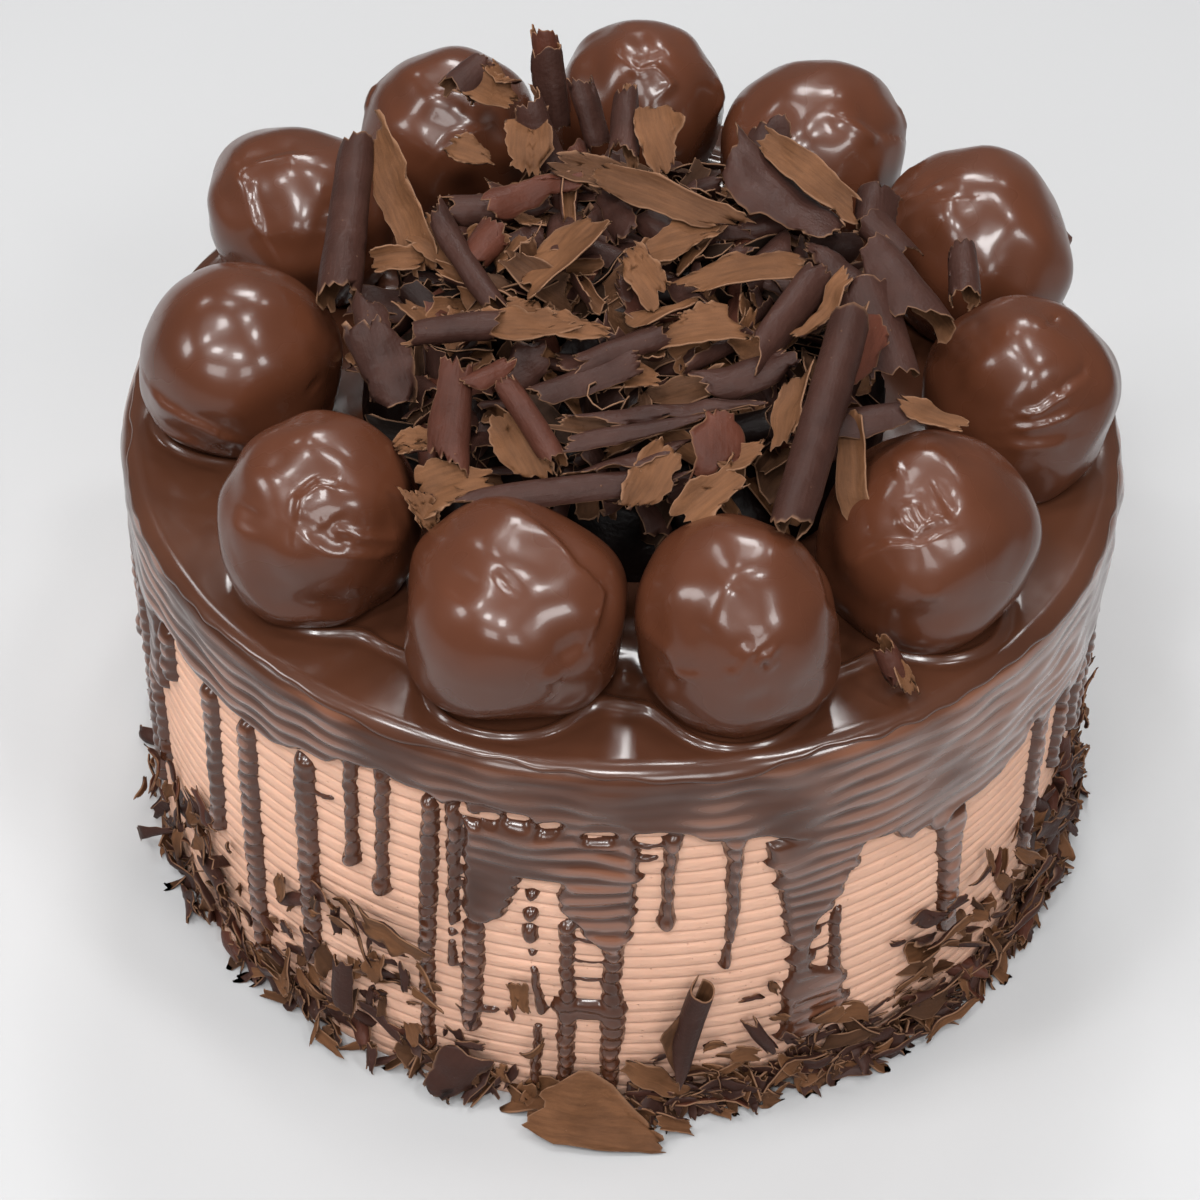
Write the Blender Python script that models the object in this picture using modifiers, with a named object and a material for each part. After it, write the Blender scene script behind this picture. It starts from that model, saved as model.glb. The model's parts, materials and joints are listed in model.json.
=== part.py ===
"""Profiterole cake, in metres, +Z up, with the middle of its flat base at the origin.

A round cake covered in combed cream carries a chocolate glaze that runs down its wall in a skirt,
sheets and drips. Eleven glazed profiteroles stand on the glaze in a ring round a heap of chocolate
curls. Flakes of the same chocolate cling to the wall and lie along its foot.
"""
import math
import random

import bmesh
import bpy
from mathutils import Euler, Matrix, Vector
from mathutils.bvhtree import BVHTree

MM = 0.001
GAP = 0.3 * MM                  # left between neighbouring pieces

# Cream body: a turned solid with comb ridges round its wall. Its wall spreads a little downwards.
BODY_TOP = 98.0 * MM
BODY_R_TOP = 101.2 * MM         # over the ridge crests
BODY_R_BASE = 103.2 * MM
BODY_FOOT = 2.0 * MM            # plain band under the lowest ridge
RIDGES = 25
RIDGE_PITCH = 3.5 * MM
RIDGE_DEPTH = 0.9 * MM
BODY_SEGMENTS = 36

# Chocolate glaze: a shell over the top and down the wall.
GLAZE_TOP = 101.4 * MM
GLAZE_R = 103.3 * MM
GLAZE_SHOULDER = 4.2 * MM
GLAZE_SEGMENTS = 72
GLAZE_SKIN = 1.7 * MM           # on the wall
DRIP_PROUD = 0.3                # share of a drip's radius by which its middle stands off the wall

# Height of the glaze's lower edge against the angle round the cake. The front is at -90 degrees.
SKIRT_EDGE = ((-180, 84), (-150, 80), (-132, 87), (-118, 91), (-107, 86), (-105, 62), (-101, 62),
              (-99, 66), (-87, 66), (-85, 83), (-73, 82), (-71, 74), (-68, 52), (-63, 52),
              (-58, 70), (-47, 64), (-31, 66), (-24, 78), (-10, 83), (5, 80), (22, 66), (34, 70),
              (44, 84), (70, 87), (96, 70), (108, 74), (120, 86), (150, 88), (180, 84))

# Drips: angle (degrees), top, end and width (mm).
DRIPS = ((-161, 80, 16, 4), (-152, 78, 61, 4), (-141.5, 84, 35, 3.4), (-134, 86, 9, 4),
         (-125, 88, 19, 4.4), (-118.8, 88, 56, 3.4), (-115, 88, 52, 3.4), (-109.5, 86, 12, 4),
         (-104, 66, 24, 5), (-97.3, 68, 12, 3.6), (-93.8, 68, 12, 5), (-88.3, 68, 12, 5),
         (-82.8, 84, 56, 3.4), (-75.7, 84, 44, 4), (-66.5, 56, 14, 7), (-49, 66, 31, 4),
         (-30, 68, 30, 4.4), (-15, 82, 42, 4))
REAR_DRIPS = 13
REAR_DRIP_FROM, REAR_DRIP_TO = -4, 189      # degrees
REAR_DRIP_SEED = 5

# Profiteroles: angle (degrees), distance from the axis, half width and half height (mm).
PUFFS = ((-102.6, 79.9, 20.7, 18.8), (-73.9, 81.4, 19.4, 19.7), (-42.7, 79.6, 21.0, 18.7),
         (-7.5, 80.2, 20.4, 18.7), (26.0, 80.4, 22.0, 19.5), (60.2, 80.0, 20.4, 18.2),
         (90.2, 80.2, 19.6, 18.9), (120.6, 80.6, 19.4, 18.7), (151.5, 79.5, 19.6, 18.0),
         (-174.7, 77.4, 20.3, 17.6), (-135.4, 78.8, 19.2, 19.4))
PUFF_SINK = 3.0 * MM            # how far the ball is cut flat at its foot
PUFF_SEGMENTS, PUFF_RINGS = 12, 8
PUFF_LUMP = 0.045               # largest rise or dent, as a share of the radius
PUFF_SEED = 11

# Heap of curls: a low core with curls fused on.
CORE_PROFILE = ((0, 139), (22, 138), (38, 134), (49, 126), (53, 114))     # radius, height (mm)
CORE_SEGMENTS = 18
SHEET = 1.2 * MM                # thickness of a curl's chocolate
# Curls: place (mm), heading, pitch and roll (degrees), length and width (mm), wrap (degrees).
# The sheet is a trough open upwards at roll 0, and a closed roll at a wrap over 300.
CURLS = (
    ((-55, 10, 137), -90, -16, 180, 44, 8, 320), ((-47, 16, 139), -64, -19, 40, 42, 10, 80),
    ((-34, -3, 140), -59, -10, 200, 37, 6, 250), ((-27, 17, 132), 14, 0, 180, 24, 7, 200),
    ((-13, -5, 141), 52, 10, -25, 30, 16, 60), ((-20, 17, 139), 34, 5, 200, 24, 9, 110),
    ((5, 13, 142), -27, -4, 20, 42, 13, 90), ((-31, 50, 139), -9, -23, 20, 16, 13, 90),
    ((-19, 56, 140), 115, 62, 180, 24, 7, 250), ((-16, 43, 137), -50, -52, 180, 22, 7, 200),
    ((-22, 37, 137), -87, -20, 0, 20, 15, 60), ((-2, 36, 142), -88, -19, 180, 26, 6, 320),
    ((7, 29, 143), -72, -20, 20, 19, 12, 90), ((27, 17, 141), -44, -7, 150, 38, 18, 120),
    ((27, 35, 139), -94, -40, 180, 15, 12, 80), ((46, 16, 138), -96, -5, 180, 14, 7, 300),
    ((23, -10, 141), 10, 6, 0, 34, 14, 60), ((15, -24, 139), 4, 7, 10, 22, 12, 60),
    ((28, -22, 141), -119, -9, 180, 33, 5, 320), ((37, -20, 141), -128, -17, 20, 24, 7, 90),
    ((36, -46, 144), -104, -13, 180, 50, 8, 320), ((43, -33, 142), -115, -18, 150, 20, 11, 90),
    ((54, -9, 143), -56, -18, 180, 28, 9, 300), ((51, -20, 138), -73, -16, 180, 25, 11, 200),
    ((65, -6, 142), -88, -12, 180, 17, 6, 300), ((43, -51, 133), -82, -30, 30, 24, 8, 80),
    ((-22, -28, 139), 10, 2, 0, 34, 8, 280), ((-46, -29, 132), -63, -25, 200, 24, 14, 120),
    ((-38, -47, 130), -6, 9, 0, 12, 12, 90), ((-29, -52, 130), 9, 10, 10, 20, 15, 60),
    ((-28, -47, 136), -90, -20, 180, 24, 8, 150), ((-18, -49, 137), -53, -20, 180, 25, 5, 300),
    ((6, -48, 136), 11, 4, 180, 44, 6, 250), ((-12, -57, 130), 10, 3, 180, 36, 6, 250),
    ((6, -57, 130), 63, 12, 20, 20, 12, 70), ((17, -57, 130), 41, 12, 20, 20, 11, 70),
    ((44, -42, 136), 14, 0, 180, 20, 8, 150), ((-19, -20, 137), 0, 0, 0, 22, 12, 70),
    ((57, -44, 141), -22, -4, 20, 15, 6, 70))
FILL_CURLS = 11                 # laid over the core by the seeded rule
FILL_SEED = 3
SEAT_STEPS = 8                  # millimetres that a curl may move up or down to find its seat

# One more curl, fallen between two profiteroles, and the angle of the gap it leans out of.
STRAY_CURL = ((46.5, -73.5, 112), -56, -35, 180, 15, 5.0, 300)
STRAY_ANGLE = -57.5

# Flakes on the wall and along the foot.
FLAKE_BANDS = (                 # angles (degrees), heights (mm), count
    (-52, -8, 3, 34, 14), (-70, -50, 2, 16, 5), (-88, -72, 2, 10, 3), (-112, -98, 2, 14, 3),
    (-132, -112, 10, 44, 6), (-165, -136, 14, 52, 5), (0, 188, 3, 26, 12))
FLAKE_LENGTH = (9, 21)          # mm
FLAKE_WIDTH = (5, 9)            # mm
FLAKE_SEED = 8
FLAKE_CLEAR = 1.2               # mm kept between a flake and the glaze
BIG_FLAKE = ((-1, -108.5, 5.5), 4, 0, -38, 27, 14, 45)
WALL_SPEAR = ((17.5, -104.2, 27), 72, 74, 180, 24, 5.5, 250)

CREAM = (0.62, 0.36, 0.26)
GLAZE = (0.085, 0.035, 0.021)
CURL = (0.10, 0.048, 0.034)


def wall_radius(height):
    """Radius of the cream wall over its ridge crests at a height."""
    share = 1.0 - height / BODY_TOP
    return BODY_R_TOP + (BODY_R_BASE - BODY_R_TOP) * share


def read_table(table, angle):
    """Height in metres that a table of (degrees, mm) gives at an angle."""
    angle = (angle + 180.0) % 360.0 - 180.0
    for (a0, z0), (a1, z1) in zip(table, table[1:]):
        if a0 <= angle <= a1:
            return (z0 + (z1 - z0) * (angle - a0) / (a1 - a0)) * MM
    return table[-1][1] * MM


def on_circle(radius, angle, height):
    """Point at a radius, an angle in degrees and a height."""
    turn = math.radians(angle)
    return Vector((radius * math.cos(turn), radius * math.sin(turn), height))


def new_collection(name):
    """Collection of that name in the scene."""
    collection = bpy.data.collections.new(name)
    bpy.context.scene.collection.children.link(collection)
    return collection


def new_object(name, mesh, collection):
    """Object with that mesh in a collection."""
    obj = bpy.data.objects.new(name, mesh)
    collection.objects.link(obj)
    return obj


def turned(name, profile, segments, collection):
    """Solid turned from a profile of (radius, height) points that runs from its top down."""
    mesh = bpy.data.meshes.new(name)
    edges = [(i, i + 1) for i in range(len(profile) - 1)]
    mesh.from_pydata([(r, 0.0, z) for r, z in profile], edges, [])
    obj = new_object(name, mesh, collection)
    screw = obj.modifiers.new("Turn", "SCREW")
    screw.steps = screw.render_steps = segments
    screw.use_merge_vertices = True
    screw.merge_threshold = 0.00001
    return settled(obj)


def settled(obj):
    """Give an object the mesh that its modifiers make, and remove them."""
    bpy.context.view_layer.update()
    graph = bpy.context.evaluated_depsgraph_get()
    mesh = bpy.data.meshes.new_from_object(obj.evaluated_get(graph))
    if obj.type == "MESH":
        obj.modifiers.clear()
        obj.data = mesh
        return obj
    name, collection, place = obj.name, obj.users_collection[0], obj.matrix_world.copy()
    bpy.data.objects.remove(obj)
    solid = new_object(name, mesh, collection)
    solid.matrix_world = place
    weld(mesh, 0.00001)
    return solid


def weld(mesh, distance):
    """Merge the points of a mesh that lie together, and turn its faces outwards."""
    shape = bmesh.new()
    shape.from_mesh(mesh)
    bmesh.ops.remove_doubles(shape, verts=shape.verts, dist=distance)
    bmesh.ops.recalc_face_normals(shape, faces=shape.faces)
    shape.to_mesh(mesh)
    shape.free()


def keep_main_body(mesh):
    """Drop loose scraps and sealed hollows, so that one closed body is left."""
    shape = bmesh.new()
    shape.from_mesh(mesh)
    bmesh.ops.remove_doubles(shape, verts=shape.verts, dist=0.000002)
    bmesh.ops.dissolve_degenerate(shape, dist=0.000002, edges=shape.edges)
    left, bodies = set(shape.verts), []
    while left:
        body, front = set(), [left.pop()]
        while front:
            vert = front.pop()
            body.add(vert)
            for edge in vert.link_edges:
                other = edge.other_vert(vert)
                if other in left:
                    left.discard(other)
                    front.append(other)
        bodies.append(body)
    main = max(bodies, key=len)
    for body in bodies:
        if body is not main:
            bmesh.ops.delete(shape, geom=list(body), context="VERTS")
    shape.to_mesh(mesh)
    shape.free()


def combine(obj, collection, operation):
    """Join or cut an object with a whole collection in one Boolean, then empty the collection."""
    boolean = obj.modifiers.new("Combine", "BOOLEAN")
    boolean.operation = operation
    boolean.operand_type = "COLLECTION"
    boolean.collection = collection
    boolean.solver = "EXACT"
    settled(obj)
    for piece in list(collection.objects):
        bpy.data.objects.remove(piece)
    keep_main_body(obj.data)


def finish(obj, colour, roughness):
    """Give a piece its material and smooth shading."""
    material = bpy.data.materials.new(obj.name)
    material.use_nodes = True
    shader = material.node_tree.nodes["Principled BSDF"]
    shader.inputs["Base Color"].default_value = (*colour, 1.0)
    shader.inputs["Roughness"].default_value = roughness
    shader.inputs["Metallic"].default_value = 0.0
    obj.data.materials.clear()
    obj.data.materials.append(material)
    obj.data.shade_smooth()
    obj.data.set_sharp_from_angle(angle=math.radians(35))


def curl_mesh(name, length, width, wrap, ragged):
    """Rectangle of sheet rolled about its own length, with uneven ends.

    A wrap up to 150 degrees gives a curved flake as wide as the width. A larger one gives a roll
    whose diameter is the width.
    """
    bend = math.radians(wrap)
    across = max(2, round(wrap / 50))
    radius = width / 2.0 if wrap > 150 else width / (2.0 * math.sin(bend / 2.0))
    shape = bmesh.new()
    bmesh.ops.create_grid(shape, x_segments=across, y_segments=1, size=1.0)
    for vert in shape.verts:
        turn = 0.5 * bend * vert.co.x
        reach = vert.co.y * (length / 2.0 - ragged.uniform(0.0, 0.09) * length)
        taper = radius * (1.0 + 0.12 * vert.co.y)
        vert.co = (taper * math.sin(turn), reach, taper * (1.0 - math.cos(turn)))
    mesh = bpy.data.meshes.new(name)
    shape.to_mesh(mesh)
    shape.free()
    return mesh


def curl_object(name, curl, ragged, collection):
    """Curl of one row of a table, as a closed solid in its place."""
    (x, y, z), heading, pitch, roll, length, width, wrap = curl
    obj = new_object(name, curl_mesh(name, length * MM, width * MM, wrap, ragged), collection)
    wall = obj.modifiers.new("Wall", "SOLIDIFY")
    wall.thickness = SHEET
    wall.offset = 0.0
    settled(obj)
    middle = width * MM / 2.0 if wrap > 150 else 0.0
    turn = Euler((math.radians(pitch), 0.0, math.radians(heading - 90.0))).to_matrix().to_4x4()
    spin = Matrix.Rotation(math.radians(roll), 4, "Y") @ Matrix.Translation((0, 0, -middle))
    obj.data.transform(Matrix.Translation((x * MM, y * MM, z * MM)) @ turn @ spin)
    return obj


def samples(obj):
    """Corners, edge middles and face middles of a piece."""
    mesh = obj.data
    points = [vert.co.copy() for vert in mesh.vertices]
    for edge in mesh.edges:
        a, b = (mesh.vertices[i].co for i in edge.vertices)
        points += [a.lerp(b, 0.25), a.lerp(b, 0.5), a.lerp(b, 0.75)]
    return points + [face.center.copy() for face in mesh.polygons]


def puff_centre(puff):
    """Middle of a profiterole's ball."""
    angle, ring, _, half_height = puff
    height = GLAZE_TOP + GAP + half_height * MM - PUFF_SINK
    return on_circle(ring * MM, angle, height)


def meets_puffs(points, margin):
    """Whether any point lies inside a profiterole grown by a margin."""
    for puff in PUFFS:
        centre, grow = puff_centre(puff), 1.0 + PUFF_LUMP
        wide, high = puff[2] * MM * grow + margin, puff[3] * MM * grow + margin
        for point in points:
            offset = point - centre
            if (offset.x ** 2 + offset.y ** 2) / wide ** 2 + (offset.z / high) ** 2 < 1.0:
                return True
    return False


def make_cake_body(collection, cutters):
    """Cream body with its comb ridges, and the flakes that cling to its wall and foot."""
    profile = [(0.0, BODY_TOP), (wall_radius(BODY_TOP) - 1.0 * MM, BODY_TOP)]
    for row in range(RIDGES):
        crest = BODY_FOOT + (RIDGES - 0.5 - row) * RIDGE_PITCH
        groove = crest - 0.5 * RIDGE_PITCH
        profile.append((wall_radius(crest), crest))
        profile.append((wall_radius(groove) - RIDGE_DEPTH, groove))
    profile += [(wall_radius(0.0), 0.5 * MM), (wall_radius(0.0) - 0.5 * MM, 0.0), (0.0, 0.0)]
    body = turned("cake_body", profile, BODY_SEGMENTS, collection)
    add_flakes(cutters)
    combine(body, cutters, "UNION")
    finish(body, CREAM, 0.6)


def meets_glaze(points):
    """Whether any point comes near the glaze's skirt, sheets or drips."""
    clear = FLAKE_CLEAR * MM
    for point in points:
        radius = math.hypot(point.x, point.y)
        angle = math.degrees(math.atan2(point.y, point.x))
        if radius < BODY_R_TOP - 2.0 * MM or radius > BODY_R_BASE + 6.0 * MM:
            continue
        if point.z > read_table(SKIRT_EDGE, angle) - 2.0 * clear:
            return True
        for place, _, end, width in all_drips():
            aside = math.radians(abs((angle - place + 180) % 360 - 180)) * radius
            if aside < 0.65 * width * MM + clear and point.z > (end - 3.0) * MM - clear:
                return True
    return False


def lowest(obj):
    """Height of a piece's lowest point."""
    return min(vert.co.z for vert in obj.data.vertices)


def add_flakes(collection):
    """Flakes in the table's bands, each leaning into the wall and clear of the glaze."""
    draw = random.Random(FLAKE_SEED)
    flakes = [BIG_FLAKE, WALL_SPEAR]
    for a0, a1, z0, z1, count in FLAKE_BANDS:
        for index in range(count):
            angle = a0 + (a1 - a0) * (index + draw.uniform(0.2, 0.8)) / count
            height = z0 + (z1 - z0) * draw.random() ** 1.6
            length = draw.uniform(*FLAKE_LENGTH)
            out = wall_radius(height * MM) / MM + 0.12 * length
            place = on_circle(out, angle, height)
            heading = angle + draw.choice((-90, 90)) + draw.uniform(-45, 45)
            pitch, roll = draw.uniform(-45, 45), draw.uniform(20, 160)
            width, wrap = draw.uniform(*FLAKE_WIDTH), draw.choice((50, 80, 110))
            flakes.append((tuple(place), heading, pitch, roll, length, width, wrap))
    for index, flake in enumerate(flakes):
        obj = curl_object(f"flake_{index:02d}", flake, draw, collection)
        lift = 0.4 * MM - lowest(obj)
        if lift > 0.0:
            obj.data.transform(Matrix.Translation((0.0, 0.0, lift)))
        if meets_glaze(samples(obj)):
            bpy.data.objects.remove(obj)


def all_drips():
    """Drips of the table, and those that a seeded rule spreads round the rear."""
    draw = random.Random(REAR_DRIP_SEED)
    step = (REAR_DRIP_TO - REAR_DRIP_FROM) / REAR_DRIPS
    rear = []
    for index in range(REAR_DRIPS):
        angle = REAR_DRIP_FROM + step * (index + draw.uniform(0.3, 0.7))
        top = read_table(SKIRT_EDGE, angle) / MM + 2.0
        end = top - draw.uniform(18.0, 66.0)
        rear.append((angle, top, max(end, 10.0), draw.uniform(3.2, 5.0)))
    return list(DRIPS) + rear


def make_drip(name, drip, collection):
    """One drip: a bar down the wall that swells to a drop at its end."""
    angle, top, end, width = drip
    curve = bpy.data.curves.new(name, "CURVE")
    curve.dimensions = "3D"
    curve.bevel_depth = 0.5 * width * MM
    curve.bevel_resolution = 1
    curve.use_fill_caps = True
    swell = 0.5 * width
    rows = ((top + 2.0, 0.8), (0.5 * (top + end), 0.95), (end + swell, 1.15),
            (end - 0.4 * swell, 0.6))
    spline = curve.splines.new("POLY")
    spline.points.add(len(rows) - 1)
    for point, (height, share) in zip(spline.points, rows):
        off = wall_radius(height * MM) + GAP + DRIP_PROUD * 0.5 * width * MM * share
        point.co = (*on_circle(off, angle, height * MM), 1.0)
        point.radius = share
    return settled(new_object(name, curve, collection))


def make_glaze(collection, cutters):
    """Glaze: an outer skin joined with its drips, less the shape of the cake that it covers."""
    rim, top, round_by = GLAZE_R, GLAZE_TOP, GLAZE_SHOULDER
    edge = 88.0 * MM
    profile = [(0.0, top), (rim - round_by, top)]
    profile += [(rim - round_by * (1.0 - math.sin(turn)), top - round_by * (1.0 - math.cos(turn)))
                for turn in (math.radians(35), math.radians(65))]
    profile += [(rim, top - 1.1 * round_by), (wall_radius(edge) + GLAZE_SKIN, edge + 3.0 * MM),
                (wall_radius(edge) + 0.5 * GLAZE_SKIN, edge), (0.0, edge)]
    glaze = turned("ganache_glaze", profile, GLAZE_SEGMENTS, collection)
    for vert in glaze.data.vertices:
        radius = math.hypot(vert.co.x, vert.co.y)
        if vert.co.z < edge + 4.0 * MM and radius > 0.5 * rim:
            angle = math.degrees(math.atan2(vert.co.y, vert.co.x))
            low = read_table(SKIRT_EDGE, angle) + (vert.co.z - edge)
            out = (radius + wall_radius(low) - wall_radius(vert.co.z)) / radius
            vert.co = (vert.co.x * out, vert.co.y * out, low)
    for index, drip in enumerate(all_drips()):
        make_drip(f"drip_{index:02d}", drip, cutters)
    combine(glaze, cutters, "UNION")
    former = [(0.0, BODY_TOP + GAP), (BODY_R_TOP + GAP, BODY_TOP + GAP),
              (BODY_R_BASE + GAP, -1.0 * MM), (0.0, -1.0 * MM)]
    turned("former", former, BODY_SEGMENTS, cutters)
    combine(glaze, cutters, "DIFFERENCE")
    finish(glaze, GLAZE, 0.2)


def lump(direction, bumps):
    """Rise of a lumpy ball in a direction, as a share of its radius."""
    rise = 0.0
    for axis, height, tight in bumps:
        rise += height * math.exp(-tight * (1.0 - direction.dot(axis)))
    return max(-PUFF_LUMP, min(PUFF_LUMP, rise))


def make_puff(index, collection, draw):
    """One profiterole: a lumpy ball with a flat foot, pressed flat where it meets another."""
    _, _, half_width, half_height = PUFFS[index]
    centre = puff_centre(PUFFS[index])
    bumps = []
    for _ in range(7):
        axis = Vector((draw.gauss(0, 1), draw.gauss(0, 1), draw.gauss(0, 1))).normalized()
        bumps.append((axis, draw.uniform(-0.07, 0.07), draw.uniform(3.0, 9.0)))
    shape = bmesh.new()
    bmesh.ops.create_uvsphere(shape, u_segments=PUFF_SEGMENTS, v_segments=PUFF_RINGS, radius=1.0)
    twist = Matrix.Rotation(math.radians(draw.uniform(0.0, 360.0)), 3, "Z")
    others = [puff_centre(puff) for row, puff in enumerate(PUFFS) if row != index]
    near = sorted(others, key=lambda other: (other - centre).length)[:2]
    for vert in shape.verts:
        direction = twist @ vert.co
        swell = 1.0 + lump(direction, bumps)
        offset = Vector((direction.x * half_width, direction.y * half_width,
                         direction.z * half_height)) * MM * swell
        for other in near:
            away = Vector((other.x - centre.x, other.y - centre.y, 0.0))
            room = 0.5 * away.length - GAP
            over = offset.dot(away.normalized()) - room
            if over > 0.0:
                offset -= over * away.normalized()
        vert.co = centre + offset
        vert.co.z = max(vert.co.z, GLAZE_TOP + GAP)
    bmesh.ops.recalc_face_normals(shape, faces=shape.faces)
    mesh = bpy.data.meshes.new(f"profiterole_{index + 1:02d}")
    shape.to_mesh(mesh)
    shape.free()
    finish(new_object(mesh.name, mesh, collection), GLAZE, 0.18)


def is_clear(obj):
    """Whether a curl stands clear of the glaze and of every profiterole."""
    points = samples(obj)
    above = min(point.z for point in points) > GLAZE_TOP + 1.5 * GAP
    return above and not meets_puffs(points, 0.6 * MM)


def tree_of(obj):
    """Search tree over the faces of a piece."""
    mesh = obj.data
    return BVHTree.FromPolygons([vert.co for vert in mesh.vertices],
                                [face.vertices for face in mesh.polygons])


def seat_curl(obj, pile):
    """Raise or lower a curl to where it is clear and rests in the pile. False when it can't."""
    for index in range(1, 2 * SEAT_STEPS):
        tree = tree_of(obj)
        if any(tree.overlap(other) for other in pile) and is_clear(obj):
            pile.append(tree)
            return True
        step = index * (1.0 if index % 2 else -1.0) * MM
        obj.data.transform(Matrix.Translation((0.0, 0.0, step)))
    obj.data.transform(Matrix.Translation((0.0, 0.0, -SEAT_STEPS * MM)))
    return False


def make_heap(collection, cutters):
    """Heap of curls: a turned core, the curls of the table, and a seeded fill over the core."""
    profile = [(r * MM, z * MM) for r, z in CORE_PROFILE]
    profile += [(profile[-1][0] + 1.0 * MM, GLAZE_TOP + GAP), (0.0, GLAZE_TOP + GAP)]
    core = turned("chocolate_curls", profile, CORE_SEGMENTS, collection)
    draw = random.Random(FILL_SEED)
    curls = list(CURLS)
    for index in range(FILL_CURLS):
        ring = 50.0 * math.sqrt((index + 0.5) / FILL_CURLS)
        place = on_circle(ring, 137.5 * index, 140.0 - 0.0055 * ring ** 2)
        wrap = draw.choice((60, 90, 200, 300))
        curls.append((tuple(place), draw.uniform(0, 360), draw.uniform(-25, 25),
                      draw.choice((0, 180)), draw.uniform(16, 28), draw.uniform(6, 11), wrap))
    waiting = [curl_object(f"curl_{index:02d}", curl, draw, cutters)
               for index, curl in enumerate(curls)]
    pile = [tree_of(core)]
    for _ in range(3):
        waiting = [obj for obj in waiting if not seat_curl(obj, pile)]
    for obj in waiting:
        bpy.data.objects.remove(obj)
    combine(core, cutters, "UNION")
    finish(core, CURL, 0.45)
    make_stray_curl(collection, draw)


def make_stray_curl(collection, draw):
    """Curl that lies on the glaze, moved out of the gap until it clears both profiteroles."""
    stray = curl_object("stray_curl", STRAY_CURL, draw, collection)
    stray.data.transform(Matrix.Translation((0.0, 0.0, GLAZE_TOP + 2.0 * GAP - lowest(stray))))
    while not is_clear(stray):
        stray.data.transform(Matrix.Translation(on_circle(0.5 * MM, STRAY_ANGLE, 0.0)))
    finish(stray, CURL, 0.45)


def main():
    """Clear the scene and build every piece."""
    for obj in list(bpy.data.objects):
        bpy.data.objects.remove(obj)
    collection = new_collection("profiterole_cake")
    cutters = new_collection("cutters")
    make_cake_body(collection, cutters)
    make_glaze(collection, cutters)
    draw = random.Random(PUFF_SEED)
    for index in range(len(PUFFS)):
        make_puff(index, collection, draw)
    make_heap(collection, cutters)


main()
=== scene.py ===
"""Looks of the profiterole cake: combed cream, dripping ganache, glazed profiteroles and curls.

Lengths are in metres unless a name says millimetres (mm). Angles round the cake are in degrees,
with the front of the cake at -90.
"""
from __future__ import annotations

import json
import logging
import math
from dataclasses import dataclass, field
from enum import Enum
from functools import partial
from typing import Any, Callable, Iterable, Sequence

import bmesh
import bpy
import numpy as np
from mathutils import Euler, Matrix, Vector

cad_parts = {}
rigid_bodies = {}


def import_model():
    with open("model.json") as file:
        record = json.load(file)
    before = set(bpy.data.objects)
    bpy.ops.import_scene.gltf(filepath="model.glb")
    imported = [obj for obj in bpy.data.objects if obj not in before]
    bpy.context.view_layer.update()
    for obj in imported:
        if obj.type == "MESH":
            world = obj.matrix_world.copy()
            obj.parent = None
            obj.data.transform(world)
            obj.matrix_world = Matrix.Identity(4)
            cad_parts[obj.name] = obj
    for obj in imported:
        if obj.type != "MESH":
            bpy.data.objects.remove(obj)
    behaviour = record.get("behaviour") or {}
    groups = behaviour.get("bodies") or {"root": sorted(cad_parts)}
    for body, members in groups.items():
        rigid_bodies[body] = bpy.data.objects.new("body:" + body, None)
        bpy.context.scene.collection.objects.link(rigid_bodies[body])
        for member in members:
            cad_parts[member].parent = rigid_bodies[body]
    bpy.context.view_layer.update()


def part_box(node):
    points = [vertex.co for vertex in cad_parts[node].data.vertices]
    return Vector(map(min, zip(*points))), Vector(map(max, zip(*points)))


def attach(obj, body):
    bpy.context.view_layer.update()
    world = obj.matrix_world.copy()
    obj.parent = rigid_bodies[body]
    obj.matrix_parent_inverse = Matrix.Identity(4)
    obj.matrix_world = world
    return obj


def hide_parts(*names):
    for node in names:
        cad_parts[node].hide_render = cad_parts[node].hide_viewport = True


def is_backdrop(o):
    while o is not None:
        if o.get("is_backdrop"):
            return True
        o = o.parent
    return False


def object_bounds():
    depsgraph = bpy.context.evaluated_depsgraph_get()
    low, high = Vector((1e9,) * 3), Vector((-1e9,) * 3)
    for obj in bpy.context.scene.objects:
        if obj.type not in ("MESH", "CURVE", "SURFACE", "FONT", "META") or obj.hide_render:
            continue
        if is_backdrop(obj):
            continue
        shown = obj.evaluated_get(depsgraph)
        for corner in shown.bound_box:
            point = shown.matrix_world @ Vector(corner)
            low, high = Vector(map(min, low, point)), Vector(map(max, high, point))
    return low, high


LOG = logging.getLogger("profiterole_cake")
MM = 0.001
BODY = "root"
WALL_MM = 102.6  # the wall's mean radius in millimetres, where shavings stick to it
Colour = tuple[float, float, float]
Array = np.ndarray


# --------------------------------------------------------------------------- node trees


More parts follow.
